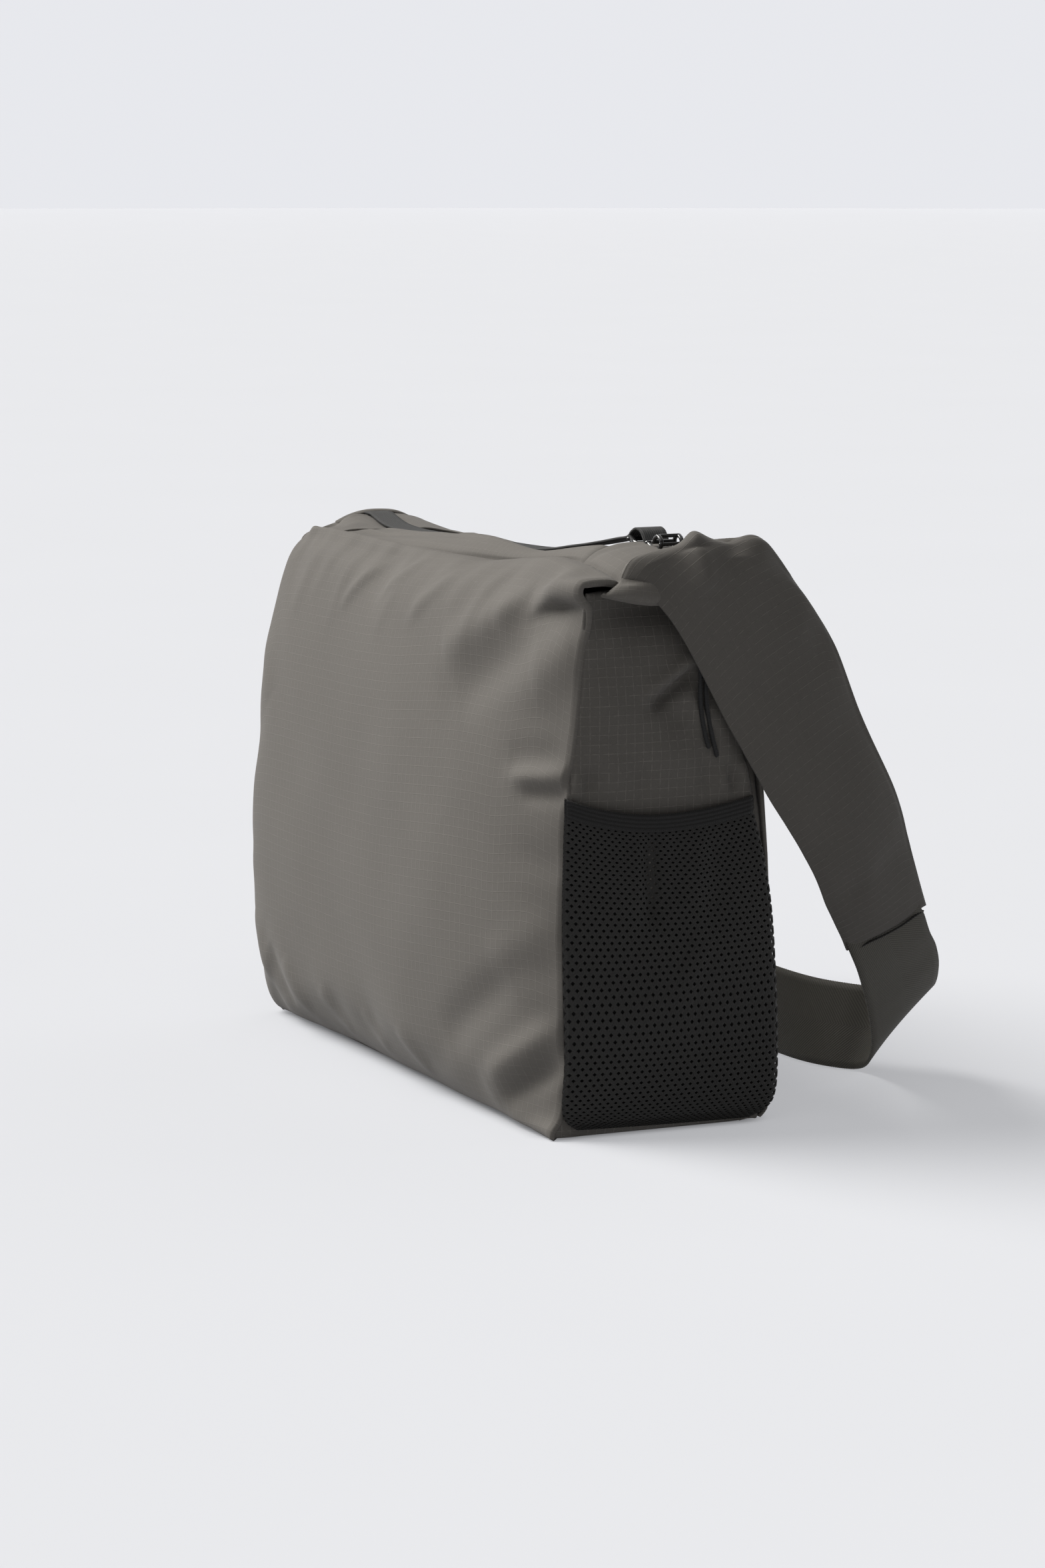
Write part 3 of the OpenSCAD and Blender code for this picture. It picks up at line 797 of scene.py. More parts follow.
HOLE_PITCH = 4.7 * MM
HOLE_ROW = 2.55 * MM
HOLE_WIDE, HOLE_TALL = HOLE_PITCH * 0.32, HOLE_ROW * 0.56
CELL = [[0, 0.6667], [0.5, 0.3333], [0.5, -0.3333], [0, -0.6667], [-0.5, -0.3333], [-0.5, 0.3333]]
YARN = 0.9 * MM
YARN_RISE = np.array([0.15, 0.5, 0.5, 0.15, 0.5, 0.5]) * MM  # higher beside a hole than above it


def spacer_mesh(side):
    """The pocket's knitted mesh: a honeycomb of yarn with real holes, over a near-black sheet that is painted
    shade seen through the holes.
    """
    sheet = pocket_sheet(side)
    width = float(np.linalg.norm(sheet[-1, 40] - sheet[0, 40])) * 1.03
    height = float(np.linalg.norm(sheet[30, -1] - sheet[30, 0]))
    n = normals(sheet)
    if float((n[..., 0] * side).mean()) < 0:
        n = -n
    columns, rows = int(width / HOLE_PITCH), int(height / HOLE_ROW)
    corners = len(CELL)
    turn = np.arange(corners) * math.pi / 3
    hole = np.stack([np.sin(turn) * HOLE_WIDE, np.cos(turn) * HOLE_TALL], axis=1)
    centres = np.array([((c + 0.5 * (r % 2)) * HOLE_PITCH, (r + 0.5) * HOLE_ROW)
                        for r in range(rows + 1) for c in range(columns + 1)])
    centres = centres[(centres[:, 0] < width + 1e-6) & (centres[:, 1] < height)]
    outer = centres[:, None, :] + np.array(CELL) * [HOLE_PITCH, HOLE_ROW * 2 * 0.75 * 1.3333]
    inner = centres[:, None, :] + hole[None]
    mid = outer * 0.45 + inner * 0.55

    def lay(points, depth):
        share = np.clip(points / [width, height], 0, 1)
        base, normal = (sample(a, share[..., 0], share[..., 1]) for a in (sheet, n))
        return base + normal * np.broadcast_to(depth, share.shape[:2])[..., None]

    loops = [lay(outer, YARN_RISE * 0.4), lay(mid, YARN_RISE), lay(inner, -0.10 * MM), lay(inner, -YARN),
             lay(outer, -YARN)]
    k = len(centres)
    verts = np.concatenate([loop.reshape(-1, 3) for loop in loops])
    weave = np.concatenate([p.reshape(-1, 2) for p in (outer, mid, inner, inner, outer)])
    idx = np.arange(k * corners).reshape(k, corners)
    faces = np.concatenate([ring_faces(idx + a * idx.size, idx + (a + 1) * idx.size) for a in range(4)])
    if side > 0:
        faces = faces[:, ::-1]
    front = mesh_object("mesh_front", verts, faces, mesh_yarn, weave)
    # the sheet behind the yarn is near black, as painted shade
    back = shell("mesh_back_painted_shade", sheet - n * 1.5 * MM, 0.5 * MM, mesh_liner_painted_shade, (side, 0, 0))
    piece = join(f"side_mesh_{hand(side)}", [front, back])
    return finish_piece(piece, "bag", "air_mesh", f"mesh_pocket_{hand(side)}")


def binding(side):
    """The elastic along the pocket's top: a flat tube of ribbed tape that dips in the middle."""
    n = 90
    line = even(pocket_sheet(side)[:, -1], n)
    rise, height = 1 * MM, 9.5 * MM
    shape = [(-0.9, -0.5), (0.2, -0.52), (0.9, -0.4), (1.05, -0.2), (1.05, 0.2), (0.85, 0.44), (0.1, 0.53),
             (-0.8, 0.45), (-0.95, 0.2), (-0.95, -0.2)]
    shape = curve(shape + shape[:1], 34)[:-1]
    across = np.gradient(line, axis=0)
    across /= np.linalg.norm(across, axis=1, keepdims=True)
    out = np.cross(across, [0, 0, 1.0])
    out /= np.linalg.norm(out, axis=1, keepdims=True)
    if out[n // 2, 0] * side < 0:
        out = -out
    up = np.array([0, 0, 1.0])
    base = line + up * rise
    rings = base[:, None] + shape[None, :, :1] * out[:, None] * 1.15 * MM + shape[None, :, 1:] * up * height
    m = len(shape)
    idx = np.arange(n * m).reshape(n, m)
    faces = ring_faces(idx[:-1], idx[1:])
    if side < 0:
        faces = faces[:, ::-1]
    faces = [tuple(f) for f in faces] + [tuple(idx[0]), tuple(idx[-1][::-1])]
    s = np.linspace(0, 0.12, n)
    weave = np.stack([np.repeat(s, m), np.tile(shape[:, 1] * height, n)], axis=1)
    piece = mesh_object(f"elastic_{hand(side)}", rings.reshape(-1, 3), faces, elastic, weave)
    return finish_piece(piece, "bag", "elastic", f"binding_{hand(side)}")


# ---------------------------------------------------------------- top

# Heights of the top's cloth over the mouth, from left to right: X and Z (mm).
CREST = [(-206, 308), (-190, 308.5), (-150, 306.5), (-113, 307.5), (-96, 309.3), (-58, 312.6), (-22, 315.3),
         (4, 316.6), (36, 316.4), (62, 313.3), (82, 312.3), (105, 315.2), (130, 319), (156, 322),
         (175, 323.3), (195, 321.5), (206, 318)]


# The right hood's rows over its turned edge: X, Y, Z (mm).
HOOD_HEM = [
    [(205.8, -26, 306.6), (208, -20, 307.2), (209, -8, 309), (208.8, 8, 311), (208, 26, 312),
     (205.5, 43, 304)],
    [(208.5, -31, 304), (212.5, -22, 304.6), (213, -10, 303.6), (210.4, 6, 302), (208.6, 26, 302),
     (206, 42.5, 300)],
    [(209, -35, 300.5), (214.2, -24, 299.6), (214.4, -11, 297.6), (210.6, 6, 296),
     (208.6, 26, 296), (206, 42, 298)],
    [(206, -36, 298), (209.5, -25, 295.4), (210, -12, 293), (208.2, 6, 292), (207.6, 26, 292),
     (205.6, 41, 295)],
]


def crest_z(x):
    """The top's height over the mouth."""
    return np.interp(x, [p[0] for p in CREST], [p[1] for p in CREST])


def seam_at(x):
    """Y and Z of the seam between the front and the top."""
    return at_x(TOP_SEAM, x * MM, 1) / MM, at_x(TOP_SEAM, x * MM, 2) / MM


def hood_right():
    """The closed end of the top over the zip's end, turned down over the side to a soft hem."""
    rows = []
    for x in (155, 164, 175, 186, 196, 203):
        y, z = seam_at(x)
        c = crest_z(x)
        rows.append([(x, y - 0.5, z - 0.6), (x, y * 0.45 - 5.5, z * 0.35 + c * 0.65), (x, -2, c),
                     (x, 16, c - 0.5), (x, 32, c - 3.5), (x, 43, 307)])
    rows += HOOD_HEM
    grid = loft(mm(rows), 76, 64)
    uv = flat(grid)
    w, _ = extent(uv)
    strokes = [(0.05 * w, 6, 0.40 * w, 22, 5, 1.2), (0.25 * w, 4, 0.52 * w, 20, 4, -1.2),
               (0.82 * w, 14, 0.9 * w, 16, 3, 0.8)]
    grid = crease(grid, uv, strokes)
    piece = shell("hood_cover_right", grid, 2.0 * MM, cloth, (0, 0, 1), uv, tuck=SEAM_TUCK)
    return finish_piece(piece, "bag", "ripstop", "hood_right", "end_panel_right")


def hood_left():
    """The other closed end: it falls away to the mouth, with a rolled edge over the webbing's end."""
    rows = []
    for x in (-148, -158, -172, -186, -198, -204):
        y, z = seam_at(x)
        fall = np.interp(x, [-205, -150], [0, 1])
        rows.append([(x, y - 0.5, z - 0.6), (x, -36, z + 1.6 - fall), (x, -18, 309.2 - 3.4 * fall),
                     (x, -4, 309.6 - 4.6 * fall), (x, 10, 310.0 - 4.2 * fall), (x, 24, 308.0 - 4.6 * fall),
                     (x, 33, 304.5 - 3 * fall), (x, 40.5, 299.5)])
    edge = [(-207.6, -48, 293), (-209, -36, 301.5), (-209.6, -18, 306), (-209.8, -4, 307),
            (-209.8, 10, 307.2), (-209.2, 24, 305.5), (-208, 33, 302), (-206, 40.5, 298.5)]
    hem = [(-208.5, -47, 290), (-210, -36, 296), (-210.4, -18, 297), (-210.4, -4, 297), (-210.4, 10, 297),
           (-210, 24, 297), (-208.6, 33, 297), (-206.4, 40, 296.5)]
    grid = loft(mm(rows + [edge, hem]), 64, 70)
    uv = flat(grid)
    w, _ = extent(uv)
    strokes = [(0.12 * w, 6, 0.3 * w, 30, 6, 1.2), (0.45 * w, 6, 0.6 * w, 30, 6, -1.2)]
    grid = crease(grid, uv, strokes)
    skin = shell("skin", grid, 1.6 * MM, cloth, (0, 0, 1), uv)
    path = mm([(-206.5, -24, 306.5), (-208.3, -15, 310), (-209, -5, 312.3), (-209, 6, 312.6),
               (-208.6, 16, 311.4), (-208, 25, 307.5), (-207, 32, 302.5), (-206, 36, 298)])
    roll = tube("roll", even(path - [0, 0, 1.4 * MM], 60), 1.25 * MM, cloth, profile=(2.4, 0.9))
    piece = join("hood_cover_left", [skin, roll])
    return finish_piece(piece, "bag", "ripstop", "hood_left", "end_panel_left")


def lip_front():
    """The front half of the top between the hoods: puffed, gathered cloth from the seam to the zip."""
    rows = []
    for x in np.linspace(MOUTH_LEFT / MM, MOUTH_RIGHT / MM - 2, 18):
        y, z = seam_at(x)
        crest_y = np.interp(x, [-150, -60, 40, 110, 160], [-27, -25, -21, -12, -8])
        c = crest_z(x)
        rows.append([(x, y - 0.5, z - 0.6), (x, y * 0.55 + crest_y * 0.45 - 1.5, z * 0.4 + c * 0.6),
                     (x, crest_y, c), (x, crest_y * 0.5 - 0.5, c * 0.5 + 152.5), (x, -2.5, LIP_Z / MM + 1.6)])
    grid = loft(mm(rows), 120, 36)
    uv = flat(grid)
    w, h = extent(uv)
    r = np.random.default_rng(8)
    strokes = []
    for k in range(13):
        u = w * (0.04 + 0.07 * k) + r.uniform(-4, 4)
        strokes.append((u, 1, u + 9, h * r.uniform(0.4, 0.7), 4.0, r.uniform(1.1, 1.9)))
        strokes.append((u + 9, 1, u + 16, h * 0.45, 3.6, -1.2))
    grid = crease(grid, uv, strokes)
    piece = shell("lip_cover_front", grid, 2.2 * MM, cloth, (0, 0, 1), uv, tuck=SEAM_TUCK)
    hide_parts("front_lip")
    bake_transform(piece)
    return piece


def lip_rear():
    """The rear half of the top: a flat strip along the zip."""
    rows = []
    for x in np.linspace(MOUTH_LEFT / MM, MOUTH_RIGHT / MM - 2, 12):
        rise = np.interp(x, [-150, -60, 40, 100, 160], [300.2, 300.2, 300.2, 303, 305.5])
        rows.append([(x, 22, LIP_Z / MM + 1.0), (x, 29, rise + 0.9), (x, 36, rise + 1.0),
                     (x, 43.5, rise + 0.6)])
    grid = loft(mm(rows), 100, 20)
    uv = flat(grid)
    grid = ripple(grid, uv, 0.03, 0.5 * MM, 5)
    piece = shell("lip_cover_rear", grid, 2.2 * MM, cloth, (0, 0, 1), uv)
    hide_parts("rear_lip")
    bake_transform(piece)
    return piece


# ---------------------------------------------------------------- back

BACK_LINE = [(63, 2), (67, 5), (69.5, 20), (70.5, 60), (70, 100), (67, 150), (63, 190), (57.5, 230),
             (52.5, 265), (49.5, 288), (48, 297), (45.8, 300.6), (43, 300)]
POCKET_LINE = [(68, 2), (75, 5), (78.8, 20), (79.8, 60), (79.5, 100), (79, 150), (78.5, 190), (77.8, 214)]
BACK_SEAM = [(62, 3), (65, 8), (66, 22), (66.5, 60), (66, 100), (63.5, 150), (58, 190), (49, 226),
             (43, 255), (42, 280), (42.5, 292), (42.5, 298), (41, 299)]


def back_sheet(s, wide, seam, line, inside):
    """A sheet on the back: its seam's outline at the ends, the full one where inside is 1."""
    grid = np.zeros((len(s), len(line), 3))
    grid[..., 0] = (s * (HALF + wide))[:, None]
    inside = inside[:, None, None]
    grid[..., 1:] = seam[None] * (1 - inside) + line[None] * inside
    return grid


def back_panel():
    """The flat padded back."""
    nu, nv = 70, 66
    s = spread(nu, 0.4)
    inside = (1 - np.abs(s) ** 7) ** (1 / 7)
    grid = back_sheet(s, 2 * MM, even(mm(BACK_SEAM), nv), even(mm(BACK_LINE), nv), inside)
    grid = settle(grid, (0, 1, 0), pressure=1.5, grow=0.008, cap=2.5 * MM)
    grid = refine(grid, 2)
    uv = flat(grid)
    grid = ripple(grid, uv, 0.08, 0.7 * MM, 6)
    piece = shell("back_cover", grid, 3.5 * MM, cloth, (0, 1, 0), uv, tuck=SEAM_TUCK)
    return finish_piece(piece, "bag", "ripstop", "back_panel")


def rear_pocket():
    """The slip pocket on the back, with a rolled hem along its open top."""
    nu, nv = 74, 46
    s = spread(nu, 0.4)
    line = even(mm(POCKET_LINE), nv)
    seam = line.copy()
    back = mm(BACK_LINE)
    seam[:, 0] = np.interp(line[:, 1], back[:, 1], back[:, 0]) + 1.2 * MM
    grid = back_sheet(s, 1.5 * MM, seam, line, smoothstep((1 - np.abs(s)) / 0.2))
    grid = refine(grid, 2)
    uv = flat(grid)
    w, h = extent(uv)
    grid = crease(grid, uv, [(20, h, 60, h - 60, 12, 1.5), (w - 20, h, w - 70, h - 70, 12, 1.5)])
    grid = ripple(grid, uv, 0.09, 0.8 * MM, 7)
    panel = shell("panel", grid, 2.2 * MM, cloth, (0, 1, 0), uv)
    edge = grid[:, -1] if grid[0, -1, 2] > grid[0, 0, 2] else grid[:, 0]
    hem = tube("hem", edge[2:-2] + [0, -1 * MM, 0.6 * MM], 2.2 * MM, cloth, profile=(0.8, 1.3))
    piece = join("rear_pocket_cover", [panel, hem])
    return finish_piece(piece, "bag", "ripstop", "rear_pocket_panel")


def bottom():
    """The base, turned up a little at its ends."""
    rows = []
    for x in (-204, -196, -120, 0, 120, 196, 204):
        end = abs(x) > 200
        z = 3.0 if end else 0.8
        f, b = (-52, 50) if end else (-63, 60)
        low = 3 if end else 0.6
        rows.append([(x, f, 3.0), (x, f + 6, z), (x, -20, low), (x, 20, low), (x, b - 6, z), (x, b, 3.0)])
    grid = loft(mm(rows), 80, 34)
    # the base's cloth is the ripstop darkened as painted shade
    piece = shell("base_cover", grid, 2.2 * MM, cloth_painted_shade, (0, 0, -1))
    return finish_piece(piece, "bag", "ripstop", "bottom_panel")


# ---------------------------------------------------------------- shoulder strap

# The sleeve from its seam at the hood down to the webbing: each row runs from front to rear (mm).
SLEEVE = [
    [(205.5, -25, 306), (204.5, -18, 318), (203.5, -6, 322.5), (203, 12, 324.5), (203.5, 30, 327),
     (205, 44, 325)],
    [(210, -15, 305.5), (212.5, -6, 315.5), (213.5, 8, 323.5), (212.5, 25, 328.5),
     (210.5, 42, 330.5), (207, 56, 324)],
    [(213, -4, 293.5), (218.5, 6, 305), (220.5, 20, 316.5), (220, 36, 325.5), (217, 53, 329),
     (210, 66, 320)],
    [(215, 9.5, 275), (221, 20, 289), (223, 34, 301.5), (222.5, 50, 310.5), (219, 66, 314), (212, 79, 304)],
    [(215, 32, 236), (221, 44, 249), (222.5, 59, 261), (222, 74, 270), (219.5, 90, 276), (214.5, 102, 270)],
    [(215, 61, 187), (220.5, 72, 198), (221.5, 84, 208), (221, 97, 216), (219, 110, 222), (214, 121, 226)],
    [(207, 91, 146), (213, 102, 156), (214.5, 114, 164), (213.5, 126, 172), (210.5, 138, 180),
     (205, 148, 181)],
    [(192, 113, 114), (197.5, 124, 122), (199.5, 135, 129), (198.5, 146, 136), (196, 157, 142),
     (191, 166, 144)],
    [(175, 134, 86), (178.5, 145, 92), (179.5, 155, 96), (179.5, 166, 101), (178, 176, 106),
     (175, 185, 109)],
]


def sleeve():
    """The padded sleeve of the strap, soft along it and gathered at its root."""
    grid = loft(mm(SLEEVE), 40, 84)
    share = np.clip((np.linspace(0, 1, 84) - 0.28) / 0.2, 0, 1)[None, :, None]
    grid = grid + (settle(grid, (1, 0, 0.2), pressure=1.5, grow=0.006, cap=2.5 * MM) - grid) * share
    grid = refine(grid, 2)
    uv = flat(grid)
    w, h = extent(uv)
    strokes = [
        (0.66 * w, 5, 0.46 * w, 20, 4.5, -6.0),
        (0.46 * w, 20, 0.28 * w, 44, 6, -5.4),
        (0.22 * w, 12, 0.12 * w, 40, 9, 2.8),
        (0.82 * w, 8, 0.58 * w, 38, 6, 4.6),
        (0.80 * w, 30, 0.62 * w, 52, 7, -2.2),
        (0.90 * w, 46, 0.78 * w, 62, 7, 1.6),
        (0.86 * w, 96, 0.70 * w, 118, 9, 1.6),
        (0.80 * w, 80, 0.62 * w, 96, 8, -1.6),
        (0.03 * w, 60, 0.03 * w, h - 20, 3, 0.8),
        (0.97 * w, 60, 0.97 * w, h - 20, 3, 0.8),
    ]
    grid = crease(grid, uv, strokes)
    share = uv[..., 0] / uv[-1, 0, 0]
    thick = (1.6 + 5.0 * np.clip(np.sin(share * math.pi), 0, 1) ** 0.5) * MM
    # the sleeve's cloth is the ripstop darkened as painted shade
    piece = shell("sleeve_cover", grid, thick, cloth_strap_painted_shade, (1, 0, 0.2), uv, tuck=0.7 * MM)
    end = grid[:, -1] if grid[0, -1, 2] < grid[0, 0, 2] else grid[:, 0]
    before = grid[:, -4] if grid[0, -1, 2] < grid[0, 0, 2] else grid[:, 3]
    line = even((end + (end - before) * 0.5)[8:-8], 150)
    lift = np.abs(np.sin(np.arange(150) * math.pi / 6))[:, None] * [0.5 * MM, 0, 0.2 * MM]
    stitch = tube("stitch", line + lift, 0.6 * MM, thread_dark, sides=6)
    piece = join("sleeve_cover", [piece, stitch])
    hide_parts("strap_pad", "strap_root")
    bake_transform(piece)
    return piece


# The webbing's two edges, as in the frame: from the sleeve round behind the bag to its left end (mm).
WEB_LOW = [(178, 131, 92), (175.5, 136, 84), (168, 145, 71), (155, 157, 52), (144, 166, 36), (131, 174, 19),
           (118, 178, 7), (106, 176, 1.5), (92, 166, 1.2), (70, 159, 1.2), (40, 157, 1.2), (0, 156, 1.2),
           (-60, 156, 1.2), (-110, 155, 6), (-155, 150, 30), (-190, 142, 68), (-209, 133, 100),
           (-217.6, 122.8, 127.3), (-217.6, 104.7, 157.3), (-217.6, 86.6, 187.3), (-217.6, 68.5, 217.2),
           (-217.6, 50.4, 247.2)]
WEB_HIGH = [(178, 177, 111), (175.5, 182, 105), (168, 190, 93), (158, 200, 82), (147, 208, 68),
            (132, 213, 53), (114, 211, 47), (97, 201, 46), (82, 186, 47), (62, 174, 48), (36, 166, 49.5),
            (0, 163, 50.5), (-60, 164, 50.5), (-116, 171, 53), (-158, 179, 70), (-191, 181, 97),
            (-209, 175, 128), (-217.6, 165.8, 153.3), (-217.6, 147.7, 183.3), (-217.6, 129.6, 213.3),
            (-217.6, 111.5, 243.2), (-217.6, 93.4, 273.2)]


def ribbon(name, low, high, thick, material, n_along, n_across, scallop):
    """Flat webbing between two edge lines, with a finely scalloped selvedge."""
    a, b = curve(mm(low), n_along), curve(mm(high), n_along)
    wave = scallop * np.abs(np.sin(np.arange(n_along) * math.pi / 2))[:, None]
    across = (b - a) / np.linalg.norm(b - a, axis=1, keepdims=True)
    a, b = a - across * wave, b + across * wave
    grid = between(a, b, n_across)
    n = normals(grid)
    grid = grid + n * thick / 2
    uv = flat(grid)
    uv[..., 0] += STRAP_HALF - uv[-1, 0, 0] / 2
    idx = np.arange(n_across * n_along).reshape(n_across, n_along)
    total = idx.size
    edge = border(idx)
    nxt = np.roll(edge, -1)
    faces = np.concatenate([grid_faces(idx), grid_faces(idx + total)[:, ::-1],
                            np.stack([edge, edge + total, nxt + total, nxt], axis=1)])
    verts = np.concatenate([grid.reshape(-1, 3), (grid - n * thick).reshape(-1, 3)])
    weave = np.concatenate([uv.reshape(-1, 2)] * 2)
    return mesh_object(name, verts, faces, material, weave)


def strap_webbing():
    """The strap's webbing, lying behind the bag."""
    piece = ribbon("strap_band", WEB_LOW, WEB_HIGH, 1.8 * MM, webbing_olive, 620, 13, 0.25 * MM)
    return finish_piece(piece, "strap", "strap_webbing", "strap_webbing")


# ---------------------------------------------------------------- compression strap and hardware

TOP_WEB = [(-208, 1, 310.6), (-196, 0, 310.9), (-184, -2, 310), (-168, -5, 308.6), (-150, -7, 307.2),
           (-126, -7, 306.2), (-100, -5.5, 306.4), (-40, -1, 307.6), (40, 5, 309), (90, 9, 315.4),
           (116, 11.5, 319.5), (138, 13, 323.4), (150, 13.5, 325.4), (155, 13.5, 328.6), (161, 13.5, 330.8),
           (167, 13.5, 329.6), (171, 13.5, 325.6), (172.5, 13.5, 323.2)]
TOP_WEB_HALF = 7.5


def top_webbing():
    """The compression strap's webbing over the top, up to its lock."""
    mid = np.array(TOP_WEB, float)
    low, high = mid - [0, TOP_WEB_HALF, 0], mid + [0, TOP_WEB_HALF, 0]
    piece = ribbon("top_band", low, high, 1.4 * MM, webbing_black, 220, 9, 0.12 * MM)
    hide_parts("top_webbing")
    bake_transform(piece)
    return piece


def paint_nodes():
    """The frame's own pieces that show as they are, each with its material."""
    looks = {
        "zip_end_right": tape_cloth, "zip_end_left": tape_cloth, "zip_slider": enamel,
        "strap_ring": buckle_black, "tri_glide": buckle_black, "base_board": board_black,
    }
    for name, material in looks.items():
        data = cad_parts[name].data
        data.materials.clear()
        data.materials.append(material)


LOCK_RISE = 2.5 * MM


def lock():
    """Ladder lock: a rounded frame with three bars, tipped down towards the hook."""
    low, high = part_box("ladder_lock")
    cy, hy = (low.y + high.y) / 2, (high.y - low.y) / 2 - 1.5 * MM
    top = high.z + LOCK_RISE

    def z(x):
        return top - 1.8 * MM - (x - low.x) * 0.22

    sides = []
    for sign in (-1, 1):
        path = [(x, cy + sign * (hy - 0.8 * MM * abs(k - 2)), z(x))
                for k, x in enumerate(np.linspace(low.x, high.x, 5))]
        sides.append(tube("side", curve(path, 20), 1.5 * MM, buckle_black, profile=(0.9, 1.15), square=0.7))
    for x in (low.x + 1 * MM, (low.x + high.x) / 2, high.x - 1 * MM):
        ends = [(x, cy - hy, z(x)), (x, cy, z(x) - 0.3 * MM), (x, cy + hy, z(x))]
        sides.append(tube("bar", curve(ends, 12), 1.25 * MM, buckle_black, profile=(1.2, 0.9), square=0.7))
    piece = join("lock", sides)
    return finish_piece(piece, "front_lip", "black_plastic", "ladder_lock")


def hook():
    """The hook: two arms that run from the lock's bar, round in a C, joined by bars."""
    low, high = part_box("strap_hook")
    cy = (low.y + high.y) / 2
    shape = [(174.2, 324.0), (178, 322.6), (183, 321.6), (188, 321.8), (191, 324.2), (190.4, 327.2),
             (187, 328.8), (183.5, 327.6), (181.6, 325.2)]
    parts = []
    for sign in (-1, 1):
        path = [(x * MM, cy + sign * 6.2 * MM, z * MM) for x, z in shape]
        parts.append(tube("arm", even(path, 40), 1.2 * MM, buckle_black, profile=(1.0, 0.8), square=0.75))
    bars = ((174.2, 324.0, 1.5), (183, 321.6, 0.9), (191, 324.6, 1.1), (187, 328.8, 1.1), (181.6, 325.2, 1.2))
    for x, z, r in bars:
        ends = [(x * MM, cy - 6.6 * MM, z * MM), (x * MM, cy, z * MM), (x * MM, cy + 6.6 * MM, z * MM)]
        parts.append(tube("bar", curve(ends, 10), r * MM, buckle_black))
    piece = join("hook_cover", parts)
    return finish_piece(piece, "hook", "black_plastic", "strap_hook")


def anchor():
    """The folded webbing that the hook catches."""
    low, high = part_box("anchor_loop")
    cy, half = (low.y + high.y) / 2, (high.y - low.y) / 2
    line = [(168, 318.6), (174, 319.6), (180, 320.4), (186, 321.0), (190.6, 321.4), (192, 320.6),
            (190.6, 319.6), (184, 318.8)]
    a = [(x, (cy - half) / MM, z) for x, z in line]
    b = [(x, (cy + half) / MM, z) for x, z in line]
    piece = ribbon("anchor_cover", a, b, 1.1 * MM, webbing_black, 60, 9, 0.1 * MM)
    return finish_piece(piece, "bag", "black_webbing", "anchor_loop")


def webbing_end():
    """The compression webbing's sewn end, turned down over the left side."""
    line = [(-205.6, 310.4), (-208, 309.6), (-209.6, 306), (-209.8, 301), (-209.4, 296)]
    a = [(x, -6.5, z) for x, z in line]
    b = [(x, 8.5, z) for x, z in line]
    piece = ribbon("webbing_end", a, b, 1.3 * MM, webbing_black, 40, 7, 0.1 * MM)
    return finish_piece(piece, "bag", "black_webbing", "top_webbing_tab")


def tape(name, node, body):
    """One half of the zip's woven tape, with a slight wave along it."""
    low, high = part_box(node)
    xs = np.linspace(low.x, high.x, 90)
    ys = np.linspace(low.y, high.y, 9)
    grid = np.zeros((90, 9, 3))
    grid[..., 0], grid[..., 1] = xs[:, None], ys[None, :]
    wave = np.sin(xs * 190)[:, None] * np.sin(np.linspace(0, math.pi, 9))
    grid[..., 2] = high.z + 0.25 * MM * wave
    piece = shell(name, grid, high.z - low.z, tape_cloth, (0, 0, 1))
    return finish_piece(piece, body, "zip_tape", node)


def coil(name, node, body, phase):
    """One row of the zip's coil: a flattened helix."""
    low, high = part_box(node)
    pitch = 1.45 * MM
    turns = (high.x - low.x - 2 * MM) / pitch
    k = np.arange(int(turns * 10))
    a = k * 2 * math.pi / 10 + phase
    reach = (high.y - low.y) / 2
    path = np.stack([low.x + 1 * MM + k * pitch / 10, (low.y + high.y) / 2 + (reach - 0.3 * MM) * np.cos(a),
                     (low.z + high.z) / 2 + ((high.z - low.z) / 2 - 0.3 * MM) * np.sin(a)], axis=1)
    piece = tube(name, path, 0.32 * MM, coil_black, sides=5)
    return finish_piece(piece, body, "zip_coil", node)


def pad(name, node, inset):
    """A soft board of foam: the frame's box, smaller by the inset, with slightly domed faces."""
    low, high = (np.array(v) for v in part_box(node))
    n = 40
    t = np.linspace(-1, 1, n)
    bend = 1 - np.abs(t) ** 8
    pinch = 1 - 0.02 * np.abs(t) ** 6  # the sides curve in a little
    centre, half = (low + high) / 2, (high - low) / 2 - [inset, 0, inset]
    grid = np.zeros((n, n, 3))
    grid[..., 0] = centre[0] + half[0] * t[:, None] * pinch[None, :]
    grid[..., 1] = centre[1] + half[1] * (0.2 + 0.3 * bend[:, None] * bend[None, :])
    grid[..., 2] = centre[2] + half[2] * t[None, :] * pinch[:, None]
    piece = shell(name, grid, half[1], foam_grey, (0, 1, 0))
    return finish_piece(piece, "bag", "foam", node)


def strap_tab_cover():
    """The cloth tab that carries the strap's ring on the left side: folded, with sewn edges."""
    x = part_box("strap_tab")[0].x / MM
    n, m = 44, 20
    a = even([(0, 282), (12, 279), (26, 270), (44, 258)], n)
    b = even([(6, 298), (26, 299), (56, 294), (86, 283)], n)
    grid = np.zeros((m, n, 3))
    grid[..., 1:] = between(a, b, m)
    bulge = np.sin(np.linspace(0, math.pi, m))[:, None] ** 0.5 * np.ones((1, n))
    start = np.linspace(1, 0, n)[None, :] ** 3
    grid[..., 0] = x + 1.0 - 1.0 * bulge + 3.0 * start
    grid = refine(grid * MM, 2)
    # the tab's cloth is the ripstop darkened as painted shade
    piece = shell("strap_tab_cover", grid, 3.2 * MM, cloth_strap_painted_shade, (-1, 0, 0))
    return finish_piece(piece, "strap", "ripstop", "strap_tab")


# ---------------------------------------------------------------- pull cords

